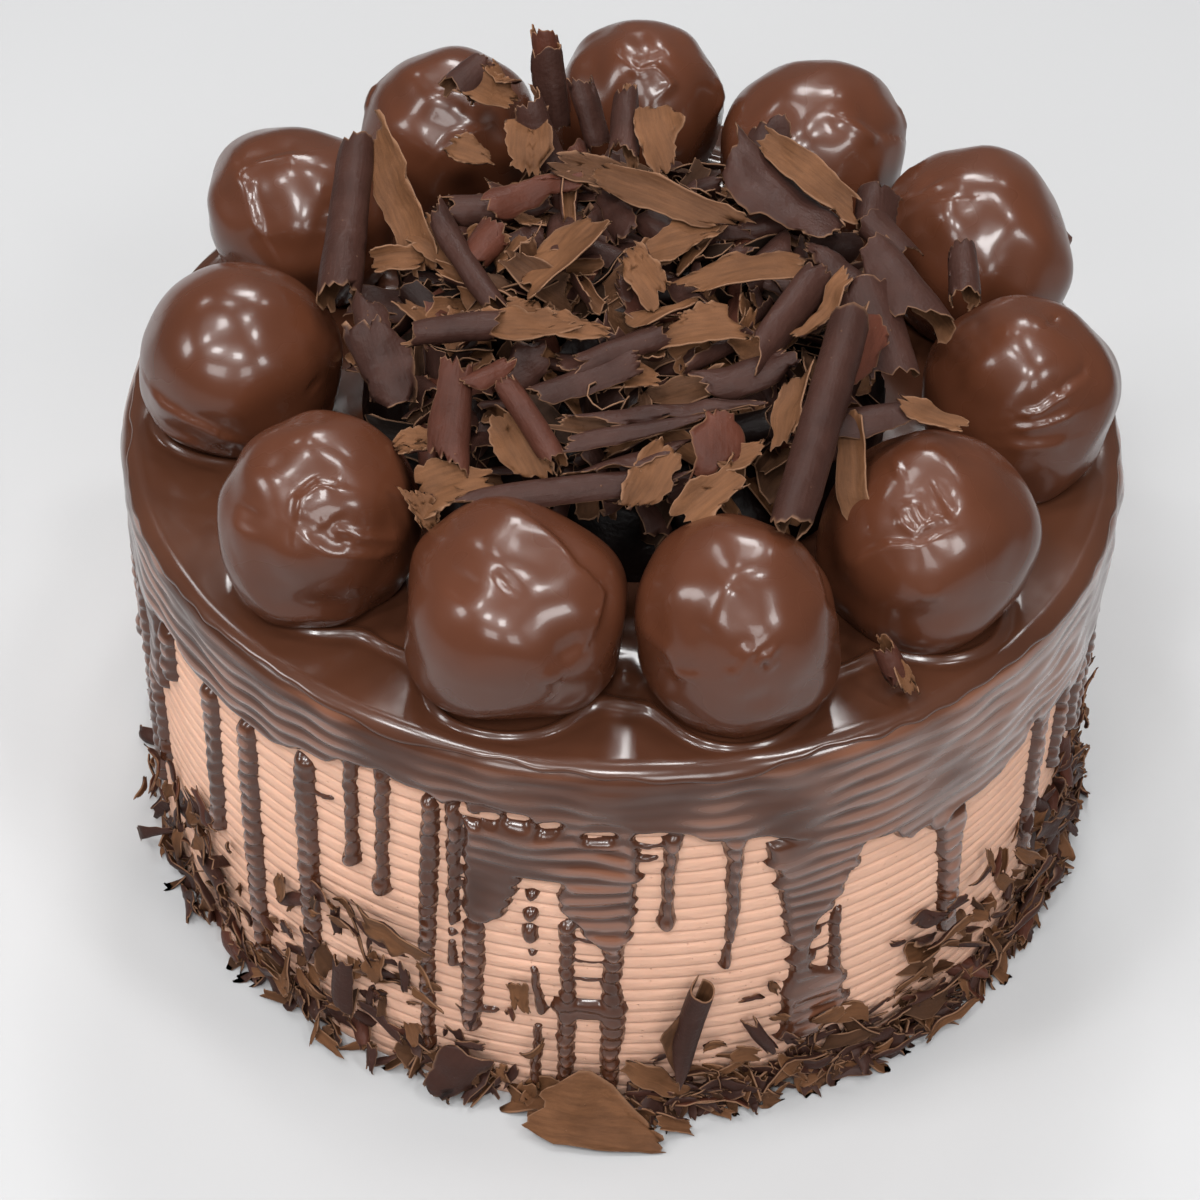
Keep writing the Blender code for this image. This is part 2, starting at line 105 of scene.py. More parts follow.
class Graph:
    """Adds nodes to a node tree and links them."""

    def __init__(self, tree: bpy.types.NodeTree) -> None:
        """Keep the node tree that the nodes go in."""
        self.tree = tree

    def node(self, kind: str, inputs: dict[Any, Any] | None = None, **settings: Any) -> bpy.types.Node:
        """Add one node.

        Args:
            kind: Blender's name for its type.
            inputs: value or socket for each input, by its name or number.
            settings: the node's own properties.

        Returns:
            The node.
        """
        node = self.tree.nodes.new(kind)
        for name, value in settings.items():
            setattr(node, name, value)
        for key, value in (inputs or {}).items():
            self.feed(node.inputs[key], value)
        return node

    def feed(self, socket: bpy.types.NodeSocket, value: Any) -> None:
        """Link a socket into an input, or set the input's own value.

        Args:
            socket: the input.
            value: another node's output, or a plain value; a colour may leave out its alpha.
        """
        if isinstance(value, bpy.types.NodeSocket):
            self.tree.links.new(value, socket)
        elif socket.type == "RGBA" and len(value) == 3:
            socket.default_value = (*value, 1.0)
        else:
            socket.default_value = value

    def math(self, operation: str, *values: Any, clamp: bool = False) -> bpy.types.NodeSocket:
        """Result of one maths node, kept between 0 and 1 where clamp says so."""
        inputs = dict(enumerate(values))
        return self.node("ShaderNodeMath", inputs, operation=operation, use_clamp=clamp).outputs[0]

    def mix(self, share: Any, low: Any, high: Any, blend: str = "MIX") -> bpy.types.NodeSocket:
        """Colour between two colours: share 0 gives the first."""
        inputs = {0: share, 6: low, 7: high}
        return self.node("ShaderNodeMix", inputs, data_type="RGBA", blend_type=blend).outputs[2]

    def tinted(self, colour: Any, by: Any, share: Any) -> bpy.types.NodeSocket:
        """Colour multiplied by another, as far as share says."""
        return self.mix(share, colour, by, "MULTIPLY")

    def attribute(self, name: str, output: str = "Fac") -> bpy.types.NodeSocket:
        """Number or vector that the mesh stores under a name."""
        return self.node("ShaderNodeAttribute", attribute_name=name).outputs[output]

    def shaped(self, kind: str, geometry: Any, inputs: dict[str, Any] | None = None,
               **settings: Any) -> bpy.types.NodeSocket:
        """Geometry after one more node of a Geometry Nodes tree."""
        return self.node(kind, {"Geometry": geometry, **(inputs or {})}, **settings).outputs[0]

    def noise(self, vector: Any, scale: Any, detail: float = 3.0,
              roughness: float = 0.5) -> bpy.types.NodeSocket:
        """Value of a noise texture, about 0.5 in the middle."""
        inputs = {"Vector": vector, "Scale": scale, "Detail": detail, "Roughness": roughness}
        return self.node("ShaderNodeTexNoise", inputs).outputs[0]

    def spread(self, value: Any, low: Any, high: Any, to_low: Any = 0.0,
               to_high: Any = 1.0) -> bpy.types.NodeSocket:
        """Value mapped from one range to another, and kept inside it."""
        return self.node("ShaderNodeMapRange", {0: value, 1: low, 2: high, 3: to_low,
                                                4: to_high}).outputs[0]


def new_tree(name: str, kind: str, inputs: Sequence[tuple[str, str, Any]],
             outputs: Sequence[tuple[str, str]]) -> tuple[Graph, Any, Any]:
    """Node tree with named inputs and outputs.

    Args:
        name: the tree's name.
        kind: ShaderNodeTree or GeometryNodeTree.
        inputs: name, socket type and default value of each input.
        outputs: name and socket type of each output.

    Returns:
        The graph, the sockets that bring its inputs and those that take its outputs.
    """
    tree = bpy.data.node_groups.new(name, kind)
    for label, socket, default in inputs:
        made = tree.interface.new_socket(label, in_out="INPUT", socket_type=socket)
        if default is not None:
            made.default_value = default
    for label, socket in outputs:
        tree.interface.new_socket(label, in_out="OUTPUT", socket_type=socket)
    graph = Graph(tree)
    return graph, graph.node("NodeGroupInput").outputs, graph.node("NodeGroupOutput").inputs


FLOAT, COLOUR, VECTOR, GEOMETRY = (
    "NodeSocketFloat", "NodeSocketColor", "NodeSocketVector", "NodeSocketGeometry")


# --------------------------------------------------------------------------- finishes


class ShaderLibrary:
    """Shader node groups that several materials share, each built once."""

    def __init__(self) -> None:
        """Build every group."""
        self.mottle = self._mottle()
        self.relief = self._relief()
        self.specks = self._specks()

    @staticmethod
    def _mottle() -> bpy.types.NodeTree:
        """Group that mixes two colours in soft patches.

        Returns:
            The node group.
        """
        graph, take, give = new_tree(
            "soft_mottle", "ShaderNodeTree",
            [("Vector", VECTOR, None), ("Scale", FLOAT, 60.0), ("Contrast", FLOAT, 0.5),
             ("Colour A", COLOUR, (0.5, 0.5, 0.5, 1.0)), ("Colour B", COLOUR, (0.5, 0.5, 0.5, 1.0))],
            [("Colour", COLOUR), ("Mask", FLOAT)])
        patches = graph.noise(take["Vector"], take["Scale"], 3.0, 0.55)
        reach = graph.math("MULTIPLY", take["Contrast"], 0.5)
        mask = graph.spread(patches, graph.math("SUBTRACT", 0.5, reach), graph.math("ADD", 0.5, reach))
        graph.feed(give["Colour"], graph.mix(mask, take["Colour A"], take["Colour B"]))
        graph.feed(give["Mask"], mask)
        return graph.tree

    @staticmethod
    def _relief() -> bpy.types.NodeTree:
        """Group that gives a height of two sizes of unevenness, drawn out along one way.

        Returns:
            The node group.
        """
        graph, take, give = new_tree(
            "uneven_relief", "ShaderNodeTree",
            [("Vector", VECTOR, None), ("Coarse", FLOAT, 90.0), ("Fine", FLOAT, 700.0),
             ("Fine Share", FLOAT, 0.3), ("Stretch", VECTOR, (1.0, 1.0, 1.0))],
            [("Height", FLOAT)])
        drawn = graph.node("ShaderNodeVectorMath", {0: take["Vector"],
                                                    1: take["Stretch"]},
                           operation="MULTIPLY").outputs[0]
        coarse = graph.noise(drawn, take["Coarse"], 2.0, 0.5)
        fine = graph.noise(drawn, take["Fine"], 3.0, 0.6)
        part = graph.math("MULTIPLY", fine, take["Fine Share"])
        graph.feed(give["Height"], graph.math("ADD", coarse, part))
        return graph.tree

    @staticmethod
    def _specks() -> bpy.types.NodeTree:
        """Group that gives small round specks or pits, as a mask and a height.

        Returns:
            The node group.
        """
        graph, take, give = new_tree(
            "small_specks", "ShaderNodeTree",
            [("Vector", VECTOR, None), ("Scale", FLOAT, 300.0), ("Size", FLOAT, 0.2),
             ("Share", FLOAT, 0.3)],
            [("Mask", FLOAT), ("Height", FLOAT)])
        cells = graph.node("ShaderNodeTexVoronoi", {"Vector": take["Vector"], "Scale": take["Scale"]})
        keep = graph.node("ShaderNodeSeparateColor", {0: cells.outputs["Color"]}).outputs[0]
        chosen = graph.math("LESS_THAN", keep, take["Share"])
        own = graph.math("MULTIPLY", take["Size"], graph.spread(keep, 0.0, 0.3, 0.5, 1.0))
        round_spot = graph.spread(cells.outputs["Distance"], 0.0, own, 1.0, 0.0)
        mask = graph.math("MULTIPLY", round_spot, chosen)
        graph.feed(give["Mask"], mask)
        graph.feed(give["Height"], graph.math("MULTIPLY", mask, -1.0))
        return graph.tree


@dataclass(frozen=True)
class Surface:
    """A material under construction: its graph, its shader and its Object coordinates."""

    graph: Graph
    shader: bpy.types.Node
    place: bpy.types.NodeSocket
    material: bpy.types.Material

    @classmethod
    def start(cls, name: str, roughness: float, specular: float = 0.5) -> Surface:
        """Make a material with one Principled shader.

        Args:
            name: the material's name.
            roughness: the shader's roughness.
            specular: its specular level.

        Returns:
            The surface, ready for its nodes.
        """
        material = bpy.data.materials.new(name)
        material.use_nodes = True
        shader = material.node_tree.nodes["Principled BSDF"]
        shader.inputs["Roughness"].default_value = roughness
        shader.inputs["Specular IOR Level"].default_value = specular
        graph = Graph(material.node_tree)
        place = graph.node("ShaderNodeTexCoord").outputs["Object"]
        return cls(graph, shader, place, material)

    def group(self, tree: bpy.types.NodeTree, inputs: dict[str, Any]) -> bpy.types.Node:
        """Place a shared group in the material.

        Args:
            tree: the group.
            inputs: its values; Vector is the Object coordinates unless given.

        Returns:
            The group node.
        """
        node = self.graph.node("ShaderNodeGroup", node_tree=tree)
        for name, value in {"Vector": self.place, **inputs}.items():
            self.graph.feed(node.inputs[name], value)
        return node

    def set(self, name: str, value: Any) -> None:
        """Link a socket into one of the shader's inputs, or set its value."""
        self.graph.feed(self.shader.inputs[name], value)

    def bump(self, height: Any, distance: float, before: Any = None) -> bpy.types.NodeSocket:
        """Normal bent by a height.

        Args:
            height: the height, 0 to 1.
            distance: how far a height of 1 stands up, in metres.
            before: a normal that this one adds to.

        Returns:
            The normal.
        """
        node = self.graph.node("ShaderNodeBump", {"Height": height, "Distance": distance,
                                                  "Strength": 1.0})
        if before is not None:
            self.graph.feed(node.inputs["Normal"], before)
        return node.outputs[0]


@dataclass(frozen=True)
class CreamFinish:
    """Whipped chocolate cream: matt, soft, with tiny holes and cocoa specks, and painted shade in its
    grooves and towards its foot.
    """

    light: Colour = (0.710, 0.428, 0.308)
    deep: Colour = (0.640, 0.368, 0.258)
    # colour of the cocoa specks, also used to paint shade into the comb grooves
    speck_and_groove_shade: Colour = (0.260, 0.120, 0.075)
    # colour of the painted shade towards the foot
    painted_foot_shade: Colour = (0.330, 0.180, 0.125)

    def build(self, shared: ShaderLibrary) -> bpy.types.Material:
        """Make the material.

        Args:
            shared: the shared shader groups.

        Returns:
            The material.
        """
        surface = Surface.start("combed_cream", 0.62, 0.35)
        graph = surface.graph
        base = surface.group(shared.mottle, {"Scale": 45.0, "Contrast": 0.5,
                                             "Colour A": self.light, "Colour B": self.deep})
        specks = surface.group(shared.specks, {"Scale": 420.0, "Size": 0.16, "Share": 0.06})
        holes = surface.group(shared.specks, {"Scale": 900.0, "Size": 0.3, "Share": 0.22})
        grain = surface.group(shared.relief, {"Coarse": 500.0, "Fine": 1800.0,
                                              "Stretch": (0.35, 0.35, 1.0)})
        tint = graph.math("MULTIPLY", specks.outputs["Mask"], 0.75, clamp=True)
        # painted shade: the comb grooves are darkened towards the speck colour, the deeper the darker
        groove = graph.attribute("groove")
        groove_shaded = graph.mix(graph.spread(groove, 0.35, 1.0, 0.0, 0.5), base.outputs["Colour"], self.speck_and_groove_shade)
        colour = graph.mix(tint, groove_shaded, self.speck_and_groove_shade)
        # painted shade: the cream is darkened towards the foot, most at the base and not at all above 55 mm
        level = graph.node("ShaderNodeSeparateXYZ", {0: surface.place}).outputs[2]
        colour = graph.mix(graph.spread(level, 0.0, 0.055, 0.30, 0.0), colour, self.painted_foot_shade)
        surface.set("Base Color", colour)
        normal = surface.bump(grain.outputs["Height"], 0.00035)
        normal = surface.bump(holes.outputs["Height"], 0.00025, before=normal)
        surface.set("Normal", normal)
        surface.set("Subsurface Weight", 0.12)
        surface.set("Subsurface Radius", (0.004, 0.002, 0.0012))
        surface.set("Subsurface Scale", 1.0)
        return surface.material


@dataclass(frozen=True)
class GanacheFinish:
    """Set chocolate glaze with a soft wet shine and faint waves; where the mesh carries a sheen band, a
    painted sheen on the wave crests and painted shade in the valleys.
    """

    name: str
    deep: Colour = (0.052, 0.0180, 0.0092)
    warm: Colour = (0.078, 0.0278, 0.0142)
    # colour of the painted sheen on the skirt's wave crests
    pale: Colour = (0.290, 0.1160, 0.0640)
    roughness: float = 0.27
    specular: float = 0.36
    coat: float = 0.30
    wave: float = 0.30 * MM

    def build(self, shared: ShaderLibrary) -> bpy.types.Material:
        """Make the material.

        Args:
            shared: the shared shader groups.

        Returns:
            The material.
        """
        surface = Surface.start(self.name, self.roughness, self.specular)
        graph = surface.graph
        base = surface.group(shared.mottle, {"Scale": 38.0, "Contrast": 0.6,
                                             "Colour A": self.deep, "Colour B": self.warm})
        # the sheen band paints a pale sheen over the crests and painted shade in the valleys, and also sets
        # roughness and coat
        band = graph.attribute("band")
        colour = graph.mix(graph.spread(band, 0.05, 1.0, 0.0, 0.50), base.outputs["Colour"], self.pale)
        dark = graph.spread(band, -0.8, -0.1, 0.60, 1.0)
        surface.set("Base Color", graph.tinted(colour, dark, 1.0))
        wave = surface.group(shared.relief, {"Coarse": 75.0, "Fine": 300.0, "Fine Share": 0.06})
        bubbles = surface.group(shared.specks, {"Scale": 160.0, "Size": 0.1, "Share": 0.04})
        rough = graph.spread(base.outputs["Mask"], 0.0, 1.0, self.roughness * 0.85, self.roughness * 1.2)
        rough = graph.math("ADD", rough, graph.spread(band, 0.0, 1.0, 0.0, 0.12))
        surface.set("Roughness", rough)
        normal = surface.bump(wave.outputs["Height"], self.wave)
        normal = surface.bump(bubbles.outputs["Height"], 0.2 * MM, before=normal)
        surface.set("Normal", normal)
        surface.set("Coat Weight", graph.spread(band, -0.3, 0.7, 0.0, self.coat / 0.3))
        surface.set("Coat Roughness", 0.10)
        return surface.material


@dataclass(frozen=True)
class CurlFinish:
    """Shaved chocolate: dark and satin outside, tan and matt inside, pale at its torn rims (their own tan
    and a painted highlight), and painted near black as shade at tones below 0.
    """

    outside: Colour = (0.041, 0.0175, 0.0130)
    outside_red: Colour = (0.075, 0.0240, 0.0145)
    inside: Colour = (0.122, 0.053, 0.0235)
    inside_dark: Colour = (0.050, 0.0225, 0.0115)
    # colour of the rims: partly their own tan, partly a painted highlight
    rim: Colour = (0.230, 0.122, 0.070)

    def build(self, shared: ShaderLibrary) -> bpy.types.Material:
        """Make the material, which reads the shavings' side, rim, tone and flow attributes.

        Args:
            shared: the shared shader groups.

        Returns:
            The material.
        """
        surface = Surface.start("shaved_chocolate", 0.45, 0.12)
        graph = surface.graph
        side, rim, tone = (graph.attribute(name) for name in ("side", "rim", "tone"))
        flow = graph.attribute("flow", "Vector")
        red = graph.spread(tone, 0.80, 0.95)
        dark = graph.spread(tone, 0.05, 0.55, 1.0, 0.0)
        outer = graph.mix(red, self.outside, self.outside_red)
        inner = graph.mix(dark, self.inside, self.inside_dark)
        body = graph.mix(side, outer, inner)
        lines = graph.noise(flow, 1.5, 4.0, 0.65)
        streak = graph.spread(lines, 0.30, 0.70, 0.78, 1.20)
        patch = surface.group(shared.mottle, {"Scale": 85.0, "Contrast": 0.45,
                                              "Colour A": (0.62, 0.60, 0.60, 1.0),
                                              "Colour B": (1.22, 1.22, 1.22, 1.0)})
        body = graph.tinted(body, patch.outputs["Colour"], 0.8)
        # painted shade: tones below 0 darken the chocolate down to 0.12 of its colour, for the heap's core
        # and part of the bed's shards
        body = graph.tinted(body, graph.spread(tone, -0.6, 0.0, 0.12, 1.0), 1.0)
        body = graph.tinted(body, streak, graph.spread(side, 0.0, 1.0, 0.45, 1.0))
        dust = surface.group(shared.specks, {"Scale": 560.0, "Size": 0.26, "Share": 0.10})
        # pale rims: partly the torn edge's own tan, partly a painted highlight where the thin edge catches
        # light; the dust specks are real
        pale = graph.math("MULTIPLY", graph.math("POWER", rim, 2.0), 0.75)
        pale = graph.math("MAXIMUM", pale, graph.math("MULTIPLY", dust.outputs["Mask"], 0.45))
        body = graph.mix(pale, body, self.rim)
        surface.set("Base Color", body)
        surface.set("Roughness", graph.spread(side, 0.0, 1.0, 0.42, 0.66))
        grain = surface.group(shared.relief, {"Coarse": 260.0, "Fine": 1400.0})
        normal = surface.bump(grain.outputs["Height"], 0.35 * MM)
        normal = surface.bump(lines, 0.10 * MM, before=normal)
        normal = surface.bump(dust.outputs["Mask"], 0.15 * MM, before=normal)
        surface.set("Normal", normal)
        return surface.material


# --------------------------------------------------------------------------- helpers


class WaveNoise:
    """Smooth seeded noise made of plane waves, with a spread of about 1."""

    def __init__(self, seed: int, size: float, count: int = 20) -> None:
        """Draw the waves.

        Args:
            seed: the random seed.
            size: length of a typical wave, in the points' own units.
            count: how many waves are added.
        """
        draw = np.random.default_rng(seed)
        ways = draw.normal(size=(count, 3))
        ways /= np.linalg.norm(ways, axis=1, keepdims=True)
        self.waves = ways * draw.uniform(0.6, 1.4, (count, 1)) * 2.0 * math.pi / size
        self.shift = draw.uniform(0.0, 2.0 * math.pi, count)
        self.gain = math.sqrt(2.0 / count)

    def __call__(self, points: Array) -> Array:
        """Noise at points whose last side is x, y and z."""
        return np.cos(points @ self.waves.T + self.shift).sum(axis=-1) * self.gain


def ramp(value: Array, low: float, high: float) -> Array:
    """Smooth step from 0 at low to 1 at high."""
    share = np.clip((value - low) / (high - low), 0.0, 1.0)
    return share * share * (3.0 - 2.0 * share)


def bell(value: Array, middle: float, width: float) -> Array:
    """Smooth hump of height 1 round a middle value."""
    return np.exp(-((value - middle) / width) ** 2)


def soft_max(first: Array, second: Array, blend: float) -> Array:
    """Larger of two fields, with a fillet of size blend where they meet."""
    share = np.clip(0.5 + 0.5 * (first - second) / blend, 0.0, 1.0)
    return second + (first - second) * share + blend * share * (1.0 - share)


def piece_from(name: str, points: Array, faces: Sequence[Sequence[int]],
               material: bpy.types.Material, values: dict[str, Array] | None = None) -> bpy.types.Object:
    """Smooth-shaded piece from points and faces.

    Args:
        name: the piece's name.
        points: its points in metres.
        faces: point numbers of each face.
        material: its finish.
        values: number or vector attributes on its points.

    Returns:
        The object, at the origin.
    """
    mesh = bpy.data.meshes.new(name)
    mesh.from_pydata(points.tolist(), [], faces)
    for label, numbers in (values or {}).items():
        wide = np.ndim(numbers) == 2
        made = mesh.attributes.new(label, "FLOAT_VECTOR" if wide else "FLOAT", "POINT")
        made.data.foreach_set("vector" if wide else "value",
                              np.asarray(numbers, dtype=np.float32).ravel())
    mesh.materials.append(material)
    mesh.shade_smooth()
    mesh.validate()
    obj = bpy.data.objects.new(name, mesh)
    bpy.context.scene.collection.objects.link(obj)
    return obj


def ring_faces(upper: int, lower: int, count: int) -> list[tuple[int, int, int, int]]:
    """Faces between two rings of points, facing out where the first is upper or inner."""
    return [(upper + k, lower + k, lower + (k + 1) % count, upper + (k + 1) % count)
            for k in range(count)]


def fan_faces(middle: int, first: int, count: int, down: bool = False) -> list[tuple[int, ...]]:
    """Faces from a middle point to a ring of points, facing up or down."""
    fan = [(middle, first + k, first + (k + 1) % count) for k in range(count)]
    return [(a, c, b) for a, b, c in fan] if down else fan


def simplify(obj: bpy.types.Object, faces: Iterable[int]) -> None:
    """Join nearly flat hidden faces of a piece.

    Args:
        obj: the piece.
        faces: numbers of the faces that may be joined.
    """
    shape = bmesh.new()
    shape.from_mesh(obj.data)
    shape.faces.ensure_lookup_table()
    hidden = {shape.faces[i] for i in faces}
    edges = [edge for edge in shape.edges if all(face in hidden for face in edge.link_faces)]
    bmesh.ops.dissolve_limit(shape, angle_limit=math.radians(4.0), verts=[], edges=edges,
                             use_dissolve_boundaries=False)
    bmesh.ops.triangulate(shape, faces=[face for face in shape.faces if len(face.verts) > 4])
    shape.to_mesh(obj.data)
    shape.free()


def run_nodes(obj: bpy.types.Object, tree: bpy.types.NodeTree,
              values: dict[str, Any]) -> bpy.types.Object:
    """Run a Geometry Nodes tree on an object and keep the result as a plain mesh.

    Args:
        obj: the object.
        tree: the tree.
        values: the tree's inputs, by name.

    Returns:
        The same object, without its modifier.
    """
    modifier = obj.modifiers.new(tree.name, "NODES")
    modifier.node_group = tree
    for item in tree.interface.items_tree:
        if item.item_type == "SOCKET" and item.in_out == "INPUT" and item.name in values:
            modifier[item.identifier] = values[item.name]
    bpy.context.view_layer.update()
    graph = bpy.context.evaluated_depsgraph_get()
    mesh = bpy.data.meshes.new_from_object(obj.evaluated_get(graph))
    obj.modifiers.clear()
    obj.data = mesh
    return obj


def place_piece(obj: bpy.types.Object, slot: str, *nodes: str) -> bpy.types.Object:
    """Let a finished piece ride on the cake and stand for its solids.

    Args:
        obj: the piece.
        slot: not used.
        nodes: the solids that it replaces.

    Returns:
        The same object.
    """
    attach(obj, BODY)
    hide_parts(*nodes)
    LOG.info("%s: %d triangles", obj.name, sum(len(face.vertices) - 2 for face in obj.data.polygons))
    return obj


# --------------------------------------------------------------------------- cream body


@dataclass(frozen=True)
class CakeForm:
    """Sizes that the cream wall and the glaze over it share."""

    top: float = 98.0 * MM
    radius_top: float = 101.2 * MM
    radius_base: float = 103.2 * MM
    ridge_foot: float = 2.1 * MM
    ridge_pitch: float = 3.5 * MM

    def wall_radius(self, height: Array | float) -> Array | float:
        """Radius over the ridge crests at a height above the base."""
        share = 1.0 - height / self.top
        return self.radius_top + (self.radius_base - self.radius_top) * share


@dataclass
class CombedCream:
    """Cream body: a rule-driven wall of comb ridges, made with Geometry Nodes."""

    form: CakeForm
    finish: bpy.types.Material
    top: float = 94.5 * MM
    columns: int = 357
    row: float = 0.35 * MM
    cap_rows: int = 3
    depth: float = 1.05 * MM
    waver: float = 0.5 * MM
    tearing: float = 0.20 * MM
    swell: float = 0.45 * MM

    def tree(self) -> bpy.types.NodeTree:
        """Tree that turns a flat grid into the combed wall with closed ends.

        Returns:
            The Geometry Nodes tree.
        """
        names = [("Height", 0.1), ("Top Radius", 0.1), ("Base Radius", 0.1), ("Pitch", 0.0035),
                 ("Depth", 0.001), ("Foot", 0.002), ("Waver", 0.0003), ("Tearing", 0.0001),
                 ("Swell", 0.0004), ("Cap", 0.001)]
        graph, take, give = new_tree(
            "combed_wall", "GeometryNodeTree",
            [("Columns", "NodeSocketInt", 361), ("Rows", "NodeSocketInt", 250),
             ("Finish", "NodeSocketMaterial", None)] + [(name, FLOAT, v) for name, v in names],
            [("Geometry", GEOMETRY)])
        add, less, times = (partial(graph.math, kind) for kind in ("ADD", "SUBTRACT", "MULTIPLY"))
        size = {name: take[name] for name, _ in names}
        full = add(size["Height"], times(size["Cap"], 2.0))
        grid = graph.node("GeometryNodeMeshGrid", {
            "Size X": 2.0 * math.pi, "Size Y": full, "Vertices X": take["Columns"],
            "Vertices Y": take["Rows"]}).outputs["Mesh"]
        flat = graph.node("ShaderNodeSeparateXYZ",
                          {0: graph.node("GeometryNodeInputPosition").outputs[0]})
        along = add(flat.outputs[1], times(size["Height"], 0.5))
        height = graph.math("MINIMUM", graph.math("MAXIMUM", along, 0.0), size["Height"])
        east, north = (graph.math(kind, flat.outputs[0]) for kind in ("COSINE", "SINE"))

        def ring(round_by: float, up_by: float) -> bpy.types.NodeSocket:
            """Seamless noise place: rings of one size, drawn out upwards by another."""
            return graph.node("ShaderNodeCombineXYZ", {
                0: times(east, round_by), 1: times(north, round_by), 2: times(height, up_by)}).outputs[0]

        drift = less(graph.noise(ring(4.0, 60.0), 1.0, 3.0), 0.5)
        depth_play = graph.spread(graph.noise(ring(2.0, 500.0), 1.0, 2.0), 0.28, 0.72, 0.35, 1.35)
        torn = less(graph.noise(ring(26.0, 1300.0), 1.0, 3.0, 0.6), 0.5)
        bulge = less(graph.noise(ring(1.6, 30.0), 1.0, 1.0), 0.5)
        phase = times(graph.math("DIVIDE", less(height, size["Foot"]), size["Pitch"]), math.pi)
        crest = graph.math("POWER", graph.math("ABSOLUTE", graph.math("SINE", phase)), 0.24)
        free = times(graph.math("DIVIDE", height, size["Pitch"]), 0.5, clamp=True)
        moved = times(times(drift, free), times(size["Waver"], 2.0))
        cut = times(times(less(1.0, crest), size["Depth"]), depth_play)
        share = graph.math("DIVIDE", height, size["Height"])
        spread = times(less(size["Top Radius"], size["Base Radius"]), share)
        radius = less(add(size["Base Radius"], spread), cut)
        radius = add(radius, times(torn, times(size["Tearing"], 2.0)))
        radius = add(radius, times(bulge, size["Swell"]))
        past = graph.math("MAXIMUM", times(along, -1.0), less(along, size["Height"]))
        close = less(1.0, add(graph.math("DIVIDE", past, size["Cap"]), 0.0, clamp=True))
        radius, moved = times(radius, close), times(moved, close)
        place = graph.node("ShaderNodeCombineXYZ", {
            0: times(radius, east), 1: times(radius, north), 2: add(height, moved)}).outputs[0]
        # groove depth, which the cream finish uses to paint shade into the grooves
        wall = graph.shaped("GeometryNodeStoreNamedAttribute", grid, {
            "Name": "groove", "Value": times(less(1.0, crest), depth_play)},
            data_type="FLOAT", domain="POINT")
        wall = graph.shaped("GeometryNodeSetPosition", wall, {"Position": place})
        wall = graph.shaped("GeometryNodeMergeByDistance", wall, {"Distance": 0.01 * MM})
        wall = graph.shaped("GeometryNodeSetShadeSmooth", wall)
        wall = graph.shaped("GeometryNodeSetMaterial", wall, {"Material": take["Finish"]})
        graph.feed(give["Geometry"], graph.shaped("GeometryNodeRealizeInstances", wall))
        return graph.tree

    def build(self) -> bpy.types.Object:
        """Make the cream body.

        Returns:
            The piece, which stands for the cake's solid.
        """
        obj = bpy.data.objects.new("combed_cream_wall", bpy.data.meshes.new("combed_cream_wall"))
        bpy.context.scene.collection.objects.link(obj)
        form, cap = self.form, self.cap_rows * self.row
        rows = round((self.top + 2.0 * cap) / self.row) + 1
        run_nodes(obj, self.tree(), {
            "Columns": self.columns, "Rows": rows, "Finish": self.finish, "Height": self.top,
            "Top Radius": form.wall_radius(self.top), "Base Radius": form.radius_base,
            "Pitch": form.ridge_pitch, "Depth": self.depth, "Foot": form.ridge_foot,
            "Waver": self.waver, "Tearing": self.tearing, "Swell": self.swell, "Cap": cap})
        return place_piece(obj, "chocolate_cream", "cake_body")


# --------------------------------------------------------------------------- glaze


@dataclass(frozen=True)
class Run:
    """A drip or a sheet of glaze on the wall.

    Each knot is a height (mm), an angle (degrees) and a width (mm), from the top down. A bead is
    how far the sides swell between two grooves, and a tongue how far they creep along one.
    """

    knots: tuple[tuple[float, float, float], ...]
    thick: float = 1.45
    bead: float = 0.30
    drop: float = 0.0
    tongue: float = 0.0


@dataclass(frozen=True)
class Rung:
    """A thin bridge of glaze along a groove: two angles, a height, a thickness and a sag (mm)."""

    start: float
    end: float
    height: float
    thick: float = 1.0
    sag: float = 0.5


